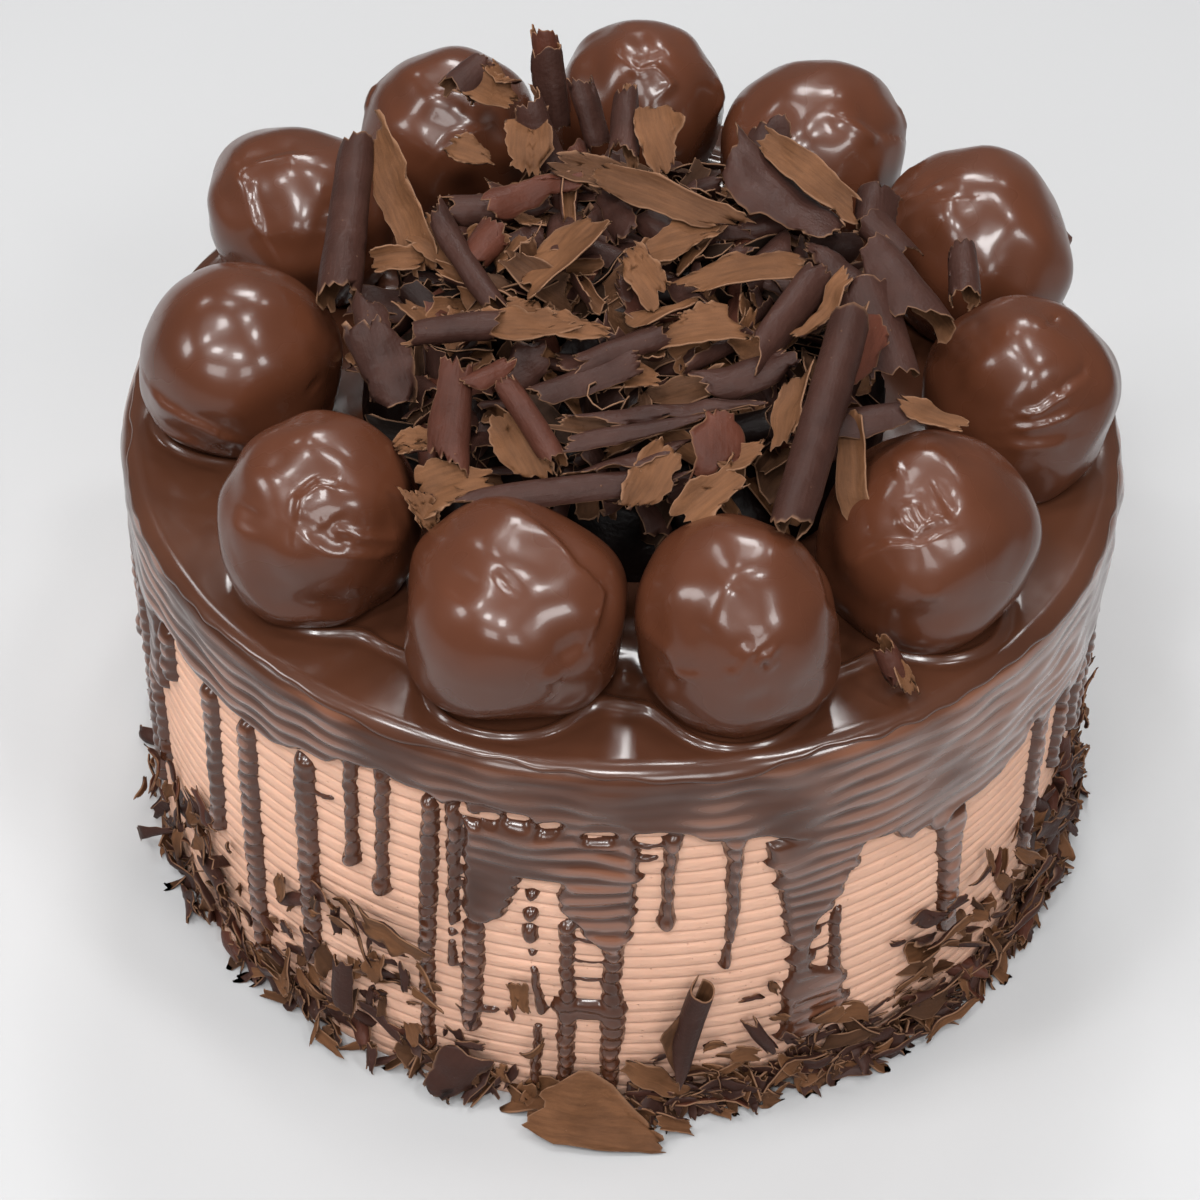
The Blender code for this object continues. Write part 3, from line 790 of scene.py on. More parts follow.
@dataclass
class GanacheGlaze:
    """Glaze over the top, round the shoulder and down the wall in a skirt, sheets and drips.

    The top is one closed piece whose lip lies on the shoulder, and the skirt another, which
    starts under that lip.
    """

    form: CakeForm
    finish: bpy.types.Material
    feet: list[tuple[Vector, float]]
    top: float = 101.4 * MM
    wall: float = 1.75 * MM
    corner: float = 4.2 * MM
    front_columns: int = 620
    rear_columns: int = 300
    step: float = 0.52 * MM
    lip_bend: float = 52.0
    lip_thick: float = 0.55 * MM
    lip_round: float = 1.0 * MM
    rounding: float = 1.7 * MM
    tuck: float = 2.5 * MM
    outline: float = -0.5
    lowest: float = 3.0 * MM
    ripple: float = 0.135 * MM
    edge: tuple[tuple[float, float], ...] = (
        (-180, 84), (-168, 80), (-156, 78), (-146, 82), (-140, 80), (-133, 80), (-125, 83),
        (-119, 86), (-112, 88), (-107, 87), (-103, 88), (-99, 85.5), (-90, 86), (-86, 85),
        (-80, 84), (-77, 83), (-73, 80), (-66, 74), (-59, 71), (-54, 66), (-50, 63.5),
        (-46, 66), (-41, 69), (-36, 73), (-31, 72), (-24, 66), (-16, 70), (-8, 76), (5, 80),
        (22, 70), (34, 74), (44, 84), (70, 87), (96, 74), (108, 78), (120, 86), (150, 88), (180, 84))
    wall_mm: float = 103.0
    back_top: float = 96.2 * MM
    under_radius: float = 94.0 * MM
    under_level: float = 96.5 * MM
    inner_rings: tuple[tuple[float, float, int], ...] = (
        (0.006, 0.006, 1), (0.020, 0.050, 4), (0.054, 0.078, 11))
    outer_rings: tuple[float, int] = (0.0788, 70)
    lip_rows: tuple[tuple[float, float, int], ...] = ((0.06, 0.8, 9), (0.84, 1.0, 7))
    shoulder_rows: tuple[float, float, int] = (14.0, 90.0, 12)
    rear_seed: int = 5
    rear_drips: int = 16
    runs: tuple[Run, ...] = (
        Run(((80, -166, 5), (52, -166, 5)), drop=0.3), Run(((80, -161.5, 5), (16, -161, 4.4)), drop=0.4),
        Run(((78, -156, 8), (58, -154.5, 7)), drop=0.3),
        Run(((60, -157.5, 4.6), (31, -156, 4.0)), drop=0.3),
        Run(((80, -151, 6), (66, -150.5, 5)), drop=0.4),
        Run(((80, -140.4, 5.4), (46, -140.5, 4.2), (37, -141, 4.6)), bead=0.2, drop=0.5),
        Run(((80, -133.5, 4.8), (57, -133.8, 5.4), (26, -133.6, 5.0), (7, -133.3, 4.2))),
        Run(((82, -124.7, 5.2), (55, -124.7, 5.4), (19, -124.8, 4.6))),
        Run(((88, -118.4, 3.4), (66, -118.4, 2.9), (58, -118.5, 3.9)), drop=0.7),
        Run(((89, -114.4, 3.3), (62, -114.7, 2.9), (53, -114.8, 3.9)), drop=0.7),
        Run(((86, -108.8, 3.4), (75, -108.9, 4.0), (57, -109.2, 4.0), (38, -109.5, 3.5),
             (8, -109.4, 3.0))),
        Run(((86, -106.1, 3.5), (65, -106.2, 2.8), (51, -106.3, 2.3))),
        Run(((49.6, -106.4, 2.3), (47.4, -106.4, 2.3)), bead=0.0, thick=1.3),
        Run(((46, -106.4, 1.6), (38, -106.4, 2.7)), bead=0.15, thick=1.3),
        Run(((88, -101.4, 11), (64, -102.2, 10), (59, -102.7, 8.4), (54, -103.8, 4.8)),
            bead=0.2, thick=1.6, tongue=0.9),
        Run(((54, -103.9, 4.6), (42, -104.0, 4.9), (19, -104.3, 4.1))),
        Run(((88, -95.6, 32), (69.5, -95.6, 33)), bead=0.2, thick=1.55, tongue=1.0),
        Run(((72, -90.6, 14.2), (62, -90.5, 14.4), (56, -89.5, 9.0), (50, -88.4, 4.4)),
            bead=0.2, thick=1.6, tongue=1.0),
        Run(((66.4, -97.5, 2.7), (63.6, -97.5, 2.7)), bead=0.0, drop=0.2),
        Run(((61, -97.5, 3.3), (57.4, -97.5, 3.3)), bead=0.0, drop=0.2),
        Run(((56, -97.6, 3.0), (51, -97.6, 3.4)), bead=0.0, drop=0.3),
        Run(((48.3, -97.4, 2.0), (46.4, -97.4, 2.0)), bead=0.0, thick=1.2),
        Run(((43, -97.2, 1.6), (35, -96.7, 2.0), (29, -96.2, 2.6)), bead=0.1, drop=0.3),
        Run(((25, -96.5, 1.7), (4, -96.8, 2.6)), bead=0.25),
        Run(((58, -93.6, 3.8), (47, -93.6, 2.9), (38, -93.4, 3.1), (27, -93.4, 3.9),
             (5, -93.3, 3.2)), bead=0.4),
        Run(((53, -88.5, 4.4), (40, -88.6, 3.9), (27, -88.2, 5.4), (16, -88.4, 4.0),
             (5, -88.3, 3.7))),
        Run(((84, -82.6, 5.0), (79, -83.0, 3.1), (65, -83.1, 2.5), (57, -82.9, 3.6)),
            bead=0.18, drop=0.7),
        Run(((83, -76.3, 6.5), (76, -76.1, 3.6), (57, -75.7, 2.8), (50.5, -76.0, 2.2)),
            bead=0.1),
        Run(((50, -76.1, 1.7), (43, -76.2, 2.6)), bead=0.0, drop=0.3),
        Run(((78, -65.9, 25), (68, -66.4, 17.6), (59, -66.7, 12.6), (52, -67.6, 7.4),
             (44, -67.5, 4.0), (37, -67.2, 4.2), (32, -65.4, 13.0), (22, -65.0, 13.8),
             (14, -67.0, 6.6)), bead=0.2, thick=1.6, tongue=1.4),
        Run(((53, -63.4, 2.2), (42, -63.2, 2.6), (30, -62.4, 3.0))),
        Run(((66, -48.6, 8.0), (47, -47.5, 5.6), (26, -46.4, 5.2)), tongue=0.5),
        Run(((74, -32.6, 4.8), (58, -32.2, 4.4), (26, -31.0, 4.6)), tongue=0.7),
        Run(((70, -26.4, 4.2), (44, -25.6, 3.8)), bead=0.35, drop=0.3),
        Run(((72, -20.6, 6.0), (46, -20.0, 4.0)), drop=0.4),
        Run(((76, -14.0, 4.2), (34, -13.6, 3.8)), drop=0.4),
        Run(((78, -7.5, 5.0), (58, -7.2, 4.4)), drop=0.6))
    rungs: tuple[Rung, ...] = (
        Rung(-93.4, -88.4, 53.5, 1.1, 1.0), Rung(-93.4, -88.4, 47, 0.9, 1.0),
        Rung(-93.4, -88.4, 41, 0.8, 0.8), Rung(-93.6, -88.2, 31.5, 6.0, 0.4),
        Rung(-67.4, -63.2, 49.5, 0.9, 1.0), Rung(-67.4, -63.2, 42.5, 0.9, 1.0),
        Rung(-86.6, -83.6, 81.2, 1.2, 0.5), Rung(-86.6, -84.6, 77.4, 1.5, 0.0),
        Rung(-104.2, -101.6, 27, 2.2, 0.4), Rung(-125, -121.0, 74, 1.3, 1.0))
    windows: tuple[tuple[float, float, float], ...] = (
        (-99.2, 86.3, 2.4), (-95.8, 85.2, 1.6), (-90.6, 83.4, 3.4), (-85.6, 82.6, 2.6),
        (-104.4, 84.0, 2.0), (-102.2, 85.0, 1.5), (-29.4, 66, 2.4), (-23.4, 61, 2.2))

    def __post_init__(self) -> None:
        """Set the columns: close together in front and wider apart behind."""
        front = np.linspace(-180.0, 0.0, self.front_columns, endpoint=False)
        rear = np.linspace(0.0, 180.0, self.rear_columns, endpoint=False)
        self.angles = np.concatenate([front, rear])
        turns = np.radians(self.angles)
        self.ring = np.stack([np.cos(turns), np.sin(turns)], axis=-1)
        self.columns = len(self.angles)
        self.scale = math.radians(1.0) * self.wall_mm
        self.around = np.column_stack([self.ring * self.wall_mm, np.zeros(self.columns)])

    def all_runs(self) -> list[Run]:
        """Drips of the front, and those that a seeded rule spreads round the rear.

        Returns:
            Every run.
        """
        draw = np.random.default_rng(self.rear_seed)
        first, last = -2.0, 191.0
        step = (last - first) / self.rear_drips
        rear = []
        for index in range(self.rear_drips):
            angle = first + step * (index + draw.uniform(0.25, 0.75))
            top = float(np.interp((angle + 180) % 360 - 180, *zip(*self.edge))) + 1.0
            end = max(top - draw.uniform(14, 68), 8.0)
            width = draw.uniform(3.0, 4.8)
            rear.append(Run(((top, angle, width + 1.0), (top - 6, angle, width),
                             (end, angle + draw.uniform(-0.6, 0.6), width * 0.92)),
                            bead=draw.uniform(0.12, 0.4), drop=draw.uniform(0.2, 0.7)))
        return list(self.runs) + rear

    def _aside(self, angle: Array | float) -> Array:
        """Millimetres round the wall from an angle to each column."""
        return ((self.angles - angle + 180.0) % 360.0 - 180.0) * self.scale

    def _phase(self, heights: Array) -> Array:
        """Comb ridges counted up the wall: whole numbers are grooves."""
        return (heights - self.form.ridge_foot / MM) / (self.form.ridge_pitch / MM)

    def cover(self, heights: Array) -> tuple[Array, Array]:
        """How far inside the glaze's outline each point of the wall lies, and how thick it is.

        Args:
            heights: millimetres, one for each row.

        Returns:
            The inner distance (mm) and the full thickness (mm), as rows by columns.
        """
        drawn = np.interp(self.angles, *zip(*self.edge))
        drawn = drawn + 0.9 * WaveNoise(21, 26.0)(self.around) + 0.45 * WaveNoise(22, 7.0)(self.around)
        pitch = self.form.ridge_pitch / MM
        drawn = drawn + 0.8 * pitch / (2 * math.pi) * np.sin(2 * math.pi * self._phase(drawn))
        slope = np.gradient(drawn, self.angles * self.scale)
        inner = (heights[:, None] - drawn[None, :]) / np.sqrt(1.0 + slope[None, :] ** 2)
        thick = np.full_like(inner, self.wall / MM)
        for number, run in enumerate(self.all_runs()):
            self._add_run(run, number, heights, inner, thick)
        for rung in self.rungs:
            half = 0.5 * (rung.end - rung.start) * self.scale
            aside = self._aside(0.5 * (rung.start + rung.end))
            near = np.where(np.abs(aside) < half + 6)[0]
            across = np.clip(aside[near] / half, -1, 1)
            level = rung.height - rung.sag * (1 - across ** 2)
            gone = np.maximum(np.abs(aside[near]) - half, 0.0)
            bar = 0.5 * rung.thick - np.hypot(heights[:, None] - level[None, :], gone[None, :])
            inner[:, near] = soft_max(inner[:, near], bar, 0.5)
        for angle, height, width in self.windows:
            aside = self._aside(angle)
            near = np.where(np.abs(aside) < width + 4)[0]
            gone = np.maximum(np.abs(aside[near]) - 0.5 * width, 0.0)
            tilt = 0.25 * math.sin(7.0 * angle) * aside[near]
            hole = np.hypot(heights[:, None] - height - tilt, gone[None, :]) - 1.25
            inner[:, near] = -soft_max(-inner[:, near], -hole, 0.4)
        return inner, thick

    def _add_run(self, run: Run, number: int, heights: Array, inner: Array, thick: Array) -> None:
        """Join one drip or sheet to the fields of cover.

        Args:
            run: the drip or sheet.
            number: its number, which varies its wander.
            heights: millimetres of the rows.
            inner: the inner distance, changed in place.
            thick: the full thickness, changed in place.
        """
        levels, turns, widths = (np.array(column[::-1]) for column in zip(*run.knots))
        line = np.interp(heights, levels, turns)
        width = np.interp(heights, levels, widths)
        wander = 0.16 * np.sin(heights * 0.55 + number * 1.7) + 0.1 * np.sin(heights * 1.3 + number)
        reach = 0.5 * max(widths) + 6.0 + 0.5 * (max(turns) - min(turns)) * self.scale
        near = np.where(np.abs(self._aside(0.5 * (min(turns) + max(turns)))) < reach)[0]
        aside = ((self.angles[near][None, :] - line[:, None] + 180) % 360 - 180) * self.scale
        aside = aside + wander[:, None]
        phase = self._phase(heights + 0.3 * math.sin(number))
        lobes = np.sin(math.pi * phase) ** 2 - 0.5
        odd = 1.0 + 0.5 * np.sin(heights * 0.9 + 2.1 * number)
        creep = np.exp(-((phase - np.round(phase)) * self.form.ridge_pitch / MM / 0.9) ** 2)
        uneven = np.sin(np.round(phase) * 2.7 + number)[:, None] + 0.35 * np.sign(aside)
        half = (0.5 * width + run.bead * lobes * odd)[:, None]
        half = half + run.tongue * creep[:, None] * np.clip(0.6 + 0.7 * uneven, 0.0, 1.4)
        low, high, end, start = 0.5 * widths[0], 0.5 * widths[-1], levels[0], levels[-1]
        own = half - np.abs(aside)
        swell = run.drop * np.exp(-((heights - end - low) / (1.1 * low + 0.4)) ** 2)
        own = own + 0.25 * swell[:, None]
        turned = min(low, 2.0)
        tip = (turned + 0.25 * run.drop) - np.hypot(
            np.maximum(np.abs(aside) - (low - turned), 0.0), heights[:, None] - (end + turned))
        own = np.where(heights[:, None] < end + turned, tip, own)
        cap = high - np.hypot(aside, heights[:, None] - (start - high))
        shut = cap if widths[-1] < 6 else start - heights[:, None]
        own = np.where(heights[:, None] > start - high, np.minimum(own, shut), own)
        share = np.clip(soft_max(own - inner[:, near], np.zeros_like(own), 0.4) / 0.9, 0.0, 1.0)
        round_off = np.sqrt(np.clip(1.0 - (aside / np.maximum(half, 0.5)) ** 2, 0.0, 1.0))
        narrow = ramp(9.0 - width, 0.0, 3.0)[:, None]
        body = run.thick * (1.0 + narrow * (0.45 * round_off - 0.25))
        body = body + 0.8 * run.bead * lobes[:, None] * narrow + swell[:, None]
        thick[:, near] += (body - thick[:, near]) * share
        inner[:, near] = soft_max(inner[:, near], own, 1.3)

    def top_relief(self, points: Array) -> Array:
        """Rise of the glaze's top: a collar round each profiterole and slow waves.

        Args:
            points: places on the top, in millimetres.

        Returns:
            The rise in millimetres.
        """
        rise = 0.13 * WaveNoise(31, 42.0)(points) + 0.03 * WaveNoise(32, 15.0)(points)
        wobble = 0.8 * WaveNoise(33, 26.0)(points)
        nearest = np.full(len(points), 99.0)
        places = [(foot.x / MM, foot.y / MM, half / MM - 3.6) for foot, half in self.feet]
        webs = [(0.5 * (a[0] + b[0]), 0.5 * (a[1] + b[1]), 8.0)
                for a, b in zip(places, places[1:] + places[:1])]
        for x, y, size in places + webs:
            gap = np.hypot(points[:, 0] - x, points[:, 1] - y) - size
            nearest = -soft_max(-nearest, -gap, 8.0)
        rim = nearest + wobble
        collar = 0.35 * (1.0 - ramp(rim, -1.0, 1.0))
        lip = 0.60 * bell(rim, -0.2, 0.75) - 0.14 * bell(rim, 1.8, 0.9)
        fillet = 1.0 - ramp(nearest, -9.0, -4.0)
        return rise + collar + lip + fillet

    def _shoulder(self, bend: Array | float, out: Array | float) -> tuple[Array, Array]:
        """Radius and height on the shoulder's round, bent (radians) from the top to the wall."""
        side = self.form.radius_top + self.wall - self.corner
        reach = self.corner + out
        return side + reach * np.sin(bend), self.top - self.corner + reach * np.cos(bend)

    def build_top(self) -> bpy.types.Object:
        """Make the top, which ends in a lip on the shoulder.

        Returns:
            The piece.
        """
        count = self.columns
        side = self.form.radius_top + self.wall - self.corner
        first, number = self.outer_rings
        radii = np.concatenate([np.linspace(*row) for row in (*self.inner_rings, (first, side, number))])
        points: list[Array] = []
        faces: list[Sequence[int]] = []
        for radius in radii:
            flat = self.ring * radius
            rise = self.top_relief(np.column_stack([flat, np.zeros(count)]) / MM) * MM
            rise = rise * ramp(np.full(count, side - radius), -2.5 * MM, MM) + self.lip_thick
            points.append(np.column_stack([flat, self.top + rise]))
        points.append(np.array([[0.0, 0.0, self.top]]))
        number = len(radii) * count + 1
        for row in range(len(radii) - 1):
            faces += ring_faces(row * count, (row + 1) * count, count)
        faces += fan_faces(number - 1, 0, count)
        faces += ring_faces(number - 1 - count, number, count)
        bend_end = np.radians(self.lip_bend + 9.0 * WaveNoise(35, 40.0)(self.around)
                              + 3.0 * WaveNoise(36, 9.0)(self.around))
        rise = self.top_relief(self.around * (side / MM / self.wall_mm)) * MM * float(
            ramp(np.array(0.0), -2.5 * MM, MM))
        rows = np.concatenate([np.linspace(*row) for row in self.lip_rows])
        for share in rows:
            bend = bend_end * share
            left = (1.0 - share) * bend_end * self.corner / self.lip_round
            dome = np.sqrt(np.clip(1.0 - (1.0 - np.clip(left, 0, 1)) ** 2, 0.0, 1.0))
            out = (self.lip_thick + rise * (1.0 - share) + 0.4 * MM) * dome - 0.4 * MM
            radius, height = self._shoulder(bend, out)
            points.append(np.column_stack([self.ring * radius[:, None], height]))
        for row in range(len(rows) - 1):
            faces += ring_faces(number + row * count, number + (row + 1) * count, count)
        under = number + len(rows) * count
        points.append(np.column_stack([self.ring * self.under_radius, np.full(count, self.under_level)]))
        points.append(np.array([[0.0, 0.0, self.under_level]]))
        faces += ring_faces(under - count, under, count)
        faces += fan_faces(under + count, under, count, down=True)
        obj = piece_from("ganache_top", np.concatenate(points), faces, self.finish)
        return place_piece(obj, "ganache", "ganache_glaze")

    def build_skirt(self) -> bpy.types.Object:
        """Make the skirt with its sheets and drips, cut to their outline and closed behind.

        Returns:
            The piece.
        """
        form = self.form
        bends = np.radians(np.linspace(*self.shoulder_rows))
        radii, heights = (list(values) for values in self._shoulder(bends, 0.0))
        level = heights[-1] - self.step
        while level > self.lowest:
            radii.append(float(form.wall_radius(level)) + self.wall)
            heights.append(level)
            level -= self.step
        radii, heights = np.array(radii), np.array(heights)
        tops = len(bends)
        inner, thick = self.cover(heights / MM)
        inner[:tops + 3] = 9.0
        share = np.clip((inner - self.outline) / (self.rounding / MM - self.outline), 0.0, 1.0)
        dome = np.sqrt(1.0 - (1.0 - share) ** 2)
        places = np.stack(np.broadcast_arrays(self.around[None, :, 0], self.around[None, :, 1],
                                              (heights / MM)[:, None]), axis=-1)
        slow, quick = WaveNoise(41, 30.0)(places), WaveNoise(42, 13.0)(places)
        drift = 0.55 * WaveNoise(43, 55.0)(places) + 0.25 * quick
        wave = -np.cos(2 * math.pi * self._phase((heights / MM)[:, None] + drift))
        fade = ramp(self.top - heights, 1.5 * MM, 7 * MM)
        left, front, right = (bell(self.angles, middle, width) for middle, width in (
            (-140.0, 28.0), (-92.0, 22.0), (-42.0, 26.0)))
        strength = np.clip(0.8 + 0.6 * slow + 0.5 * left, 0.15, 1.9)
        ripple = self.ripple * strength * wave * fade[:, None]
        ripple = ripple + 0.22 * MM * WaveNoise(44, 26.0)(places * [1, 1, 2.4]) * fade[:, None]
        ripple = ripple + 0.09 * MM * WaveNoise(45, 12.0)(places * [1, 1, 2.2]) * fade[:, None]
        ripple = ripple * ramp(inner, 0.8, 3.0)
        out = (thick * MM + self.tuck) * dome - self.tuck - self.wall
        out = out + ripple + 0.10 * MM * quick * share
        out[:tops] = (0.10 * MM * quick)[:tops]
        lean = np.concatenate([np.sin(bends), np.ones(len(radii) - tops)])
        rise = np.concatenate([np.cos(bends), np.zeros(len(radii) - tops)])
        reach = radii[:, None] + out * lean[:, None]
        height = np.broadcast_to(heights[:, None] + out * rise[:, None], reach.shape)
        # painted sheen and shade: the sheen band follows the waves and is raised on the right side and
        # lowered on the left and front, painting a lighter and a darker side
        band = 0.50 * wave * strength + 0.24 * slow + 0.14 * quick
        band = band + 0.30 + 0.50 * right - 0.24 * left - 0.14 * front
        band = band * ramp(inner, 0.4, 2.2)
        return self._shell(inner - self.outline, reach, height, heights, tops, band)

    def _shell(self, inner: Array, reach: Array, height: Array, heights: Array,
               tops: int, band: Array) -> bpy.types.Object:
        """Closed shell of the points whose inner value is above 0.

        Args:
            inner: inner value of every grid point.
            reach: radius of every grid point.
            height: height of every grid point.
            heights: height of each row on the bare wall.
            tops: number of rows on the shoulder.
            band: how far each grid point is up a wave of the glaze, from -1 to 1, raised on the right side
                and lowered on the left and front; the finish paints sheen and shade from it.

        Returns:
            The piece.
        """
        inner = inner.copy()
        for _ in range(3):
            across = np.roll(inner, -1, axis=1)
            cross_a = (inner[:-1] > 0) & (across[1:] > 0) & (inner[1:] <= 0) & (across[:-1] <= 0)
            cross_b = (inner[:-1] <= 0) & (across[1:] <= 0) & (inner[1:] > 0) & (across[:-1] > 0)
            inner[1:][cross_a] = 0.02
            inner[:-1][cross_b] = 0.02
        inside = inner > 0.0
        count = int(inside.sum())
        number = np.full(inner.shape, -1, dtype=np.int64)
        number[inside] = np.arange(count)
        outer = np.stack([reach * self.ring[None, :, 0], reach * self.ring[None, :, 1], height], axis=-1)
        depth = self.form.wall_radius(heights) - self.tuck
        depth[:tops] = self.form.radius_top - self.tuck
        back = np.stack(np.broadcast_arrays(depth[:, None] * self.ring[None, :, 0],
                                            depth[:, None] * self.ring[None, :, 1],
                                            np.minimum(heights, self.back_top)[:, None]), axis=-1)
        points = [outer[inside], back[inside]]
        faces: list[Sequence[int]] = []
        places: list[tuple[float, float, float]] = []
        made: dict[tuple[int, int, int, int], int] = {}
        columns = self.columns
        spans = np.append(self.angles, 180.0)

        def crossing(a: tuple[int, int], b: tuple[int, int]) -> int:
            """Point where the edge between two grid points leaves the glaze."""
            key = (a[0], a[1] % columns, b[0], b[1] % columns)
            key = key if key[:2] < key[2:] else key[2:] + key[:2]
            if key not in made:
                va, vb = inner[a[0], a[1] % columns], inner[b[0], b[1] % columns]
                share = min(max(va / (va - vb), 0.03), 0.97)
                angle = math.radians(spans[a[1]] + (spans[b[1]] - spans[a[1]]) * share)
                level = heights[a[0]] + (heights[b[0]] - heights[a[0]]) * share
                radius = float(self.form.wall_radius(level)) - self.tuck
                made[key] = 2 * count + len(places)
                places.append((radius * math.cos(angle), radius * math.sin(angle), level))
            return made[key]

        right = np.roll(inside, -1, axis=1)
        whole = inside[:-1] & inside[1:] & right[:-1] & right[1:]
        some = (inside[:-1] | inside[1:] | right[:-1] | right[1:]) & ~whole
        following = np.roll(number, -1, axis=1)
        quads = np.stack([number[:-1], number[1:], following[1:], following[:-1]], axis=-1)[whole]
        faces.extend(map(tuple, quads.tolist()))
        rear: list[Sequence[int]] = [tuple(quad) for quad in (quads[:, ::-1] + count).tolist()]
        for row, column in zip(*np.nonzero(some)):
            row, column = int(row), int(column)
            corners = [(row, column), (row + 1, column), (row + 1, column + 1), (row, column + 1)]
            loop: list[int] = []
            for here, there in zip(corners, corners[1:] + corners[:1]):
                kept = inside[here[0], here[1] % columns]
                if kept:
                    loop.append(int(number[here[0], here[1] % columns]))
                if kept != inside[there[0], there[1] % columns]:
                    loop.append(crossing(here, there))
            faces.append(tuple(loop))
            rear.append(tuple(i + count if i < count else i for i in loop[::-1]))
        first = number[0].tolist()
        faces += [(first[k], first[(k + 1) % columns], first[(k + 1) % columns] + count,
                   first[k] + count) for k in range(columns)]
        points.append(np.array(places))
        sheen_band_values = np.concatenate([band[inside], np.zeros(count + len(places))])
        obj = piece_from("ganache_skirt", np.concatenate(points), faces + rear, self.finish,
                         {"band": sheen_band_values})
        simplify(obj, range(len(faces), len(faces) + len(rear)))
        return place_piece(obj, "ganache", "ganache_glaze")


# --------------------------------------------------------------------------- profiteroles


@dataclass(frozen=True)
class Fold:
    """A crease or a ridge in a profiterole's glaze.

    Each knot is an angle round the ball and a lift above its middle, in degrees.
    """

    knots: tuple[tuple[float, float], ...]
    height: float
    width: float
    step: float = 0.0


@dataclass(frozen=True)
class Profiterole:
    """One glazed ball: the number of its solid and what marks its surface."""

    number: int
    folds: tuple[Fold, ...] = ()
    lumps: float = 0.028
    ripples: float = 0.0105
    squareness: float = 2.6


@dataclass
class ProfiteroleRing:
    """The ring of glazed profiteroles, each with its own folds and dents."""

    finish: bpy.types.Material
    detail: int = 6
    sink: float = 1.2 * MM
    balls: tuple[Profiterole, ...] = tuple(
        Profiterole(number, tuple(Fold(*row) for row in rows), *more) for number, rows, *more in (
        (1, (
            (((50, 74), (4, 67), (-20, 54), (-21, 33), (-42, 20)), 0.35, 1.1, 0.6),
            (((-64, 18), (-47, 21)), -0.8, 2.2), (((-72, 11), (-64, 5)), 0.6, 1.6),
            (((-97, 58), (-88, 63)), -0.5, 3.0), (((-133, 43), (-135, 58)), -0.5, 3.6))),
        (2, (
            (((-76, 17), (-80, 22), (-76, 26), (-71, 21), (-76, 17)), 0.6, 0.8),
            (((-77, 21), (-75, 21)), -0.9, 0.8), (((-74, 25), (-68, 30)), 0.4, 0.8),
            (((-130, 5), (-120, 6), (-112, 10)), 0.35, 0.9, 0.3),
            (((-98, 14), (-92, 18), (-86, 28), (-80, 32)), 0.5, 0.9, 0.3),
            (((-95, 23), (-86, 33)), 0.35, 0.7), (((-165, 12), (-138, 13), (-126, 7)), 0.4, 1.8),
            (((-100, 64), (-110, 52), (-113, 35)), 0.5, 2.8),
            (((10, 46), (-20, 34), (-7, 13)), 0.5, 1.8, 0.3), (((-87, -3), (-70, -2)), -0.4, 2.4))),
        (3, (
            (((-131, 57), (-116, 61), (-101, 51), (-106, 46), (-119, 50), (-131, 57)), 0.6, 1.1),
            (((-100, 51), (-91, 57), (-77, 56)), 0.5, 1.2),
            (((-101, 79), (-81, 67), (-74, 58)), -0.35, 1.0, 0.25),
            (((-142, 10), (-135, 21), (-122, 36), (-101, 42), (-85, 48)), 0.35, 0.9, 0.5),
            (((-98, 12), (-84, 14)), 0.45, 1.8), (((180, 66), (175, 72)), 0.6, 3.0))),
        (4, (
            (((-99, 27), (-86, 30), (-72, 38), (-63, 40)), 0.55, 1.0, 0.3),
            (((-103, 17), (-86, 21), (-59, 26)), 0.5, 1.1, 0.3),
            (((-104, 6), (-85, 8), (-66, 9)), 0.4, 1.4, 0.3),
            (((-72, 38), (-61, 45), (-43, 46), (-36, 49)), -0.5, 0.8, 0.2),
            (((18, 80), (4, 77)), -0.9, 2.4))),
        (5, (
            (((174, 29), (-169, 48), (-170, 66)), 0.5, 1.1, 0.4),
            (((-163, 34), (-152, 54), (-127, 66)), 0.45, 1.1, 0.3), (((155, 22), (140, 35)), 0.4, 1.4),
            (((-3, 12), (-1, 11)), 1.0, 1.2))),
        (6, (
            (((-72, 58), (-51, 47), (-39, 33)), 0.8, 1.6), (((-49, 52), (-30, 34), (0, 9)), -0.4, 1.6, 0.3),
            (((16, 27), (4, 14)), 0.5, 1.4))),
        (7, (
            (((-111, 63), (-93, 56), (-72, 60), (-59, 46), (-72, 40)), 0.8, 1.1, 0.3),
            (((115, 82), (-75, 69), (-67, 62)), -1.0, 2.8),
            (((-4, 30), (-6, 15), (-21, 11)), 0.6, 1.6, 0.4))),
        (8, (
            (((-95, 21), (-82, 34), (-61, 37)), 0.4, 1.2, 0.5),
            (((164, 30), (171, 22), (180, 16)), 0.5, 1.4, 0.4))),
        (9, (
            (((-153, 54), (-133, 51), (-117, 36), (-106, 21)), 0.3, 1.6, 0.8),
            (((-151, 58), (-129, 76), (-73, 81)), 0.35, 1.2, 0.4), (((-57, 45), (-68, 25)), -0.4, 3.0))),
        (10, (
            (((-146, 3), (-121, 1), (-103, -5), (-80, -20)), 0.35, 1.2, 0.6),
            (((-146, -19), (-115, -22), (-79, -37)), 0.4, 1.4, 0.3),
            (((-35, 11), (-31, 3)), -0.5, 2.2)), 0.020, 0.004),
        (11, (
            (((-99, 39), (-99, 52), (-80, 62), (-57, 57)), 0.5, 1.3, 0.4),
            (((-72, 37), (-57, 28), (-29, 11)), 0.45, 1.2, 0.4),
            (((-95, 34), (-77, 22), (-58, 15), (-32, 5)), 0.45, 1.3, 0.3),
            (((-129, -9), (-111, -27), (-85, -29), (-43, -38)), 0.5, 1.8, 0.3),
            (((-74, 40), (-65, 22)), -0.6, 2.8), (((-139, 36), (-135, 22)), -0.5, 3.0)))))

    def feet(self) -> list[tuple[Vector, float]]:
        """Middle and half width of every profiterole, for the glaze round its foot.

        Returns:
            One pair for each ball.
        """
        found = []
        for ball in self.balls:
            low, high = (Vector(corner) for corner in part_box(self._node(ball)))
            found.append((0.5 * (low + high), 0.25 * (high.x - low.x + high.y - low.y)))
        return found

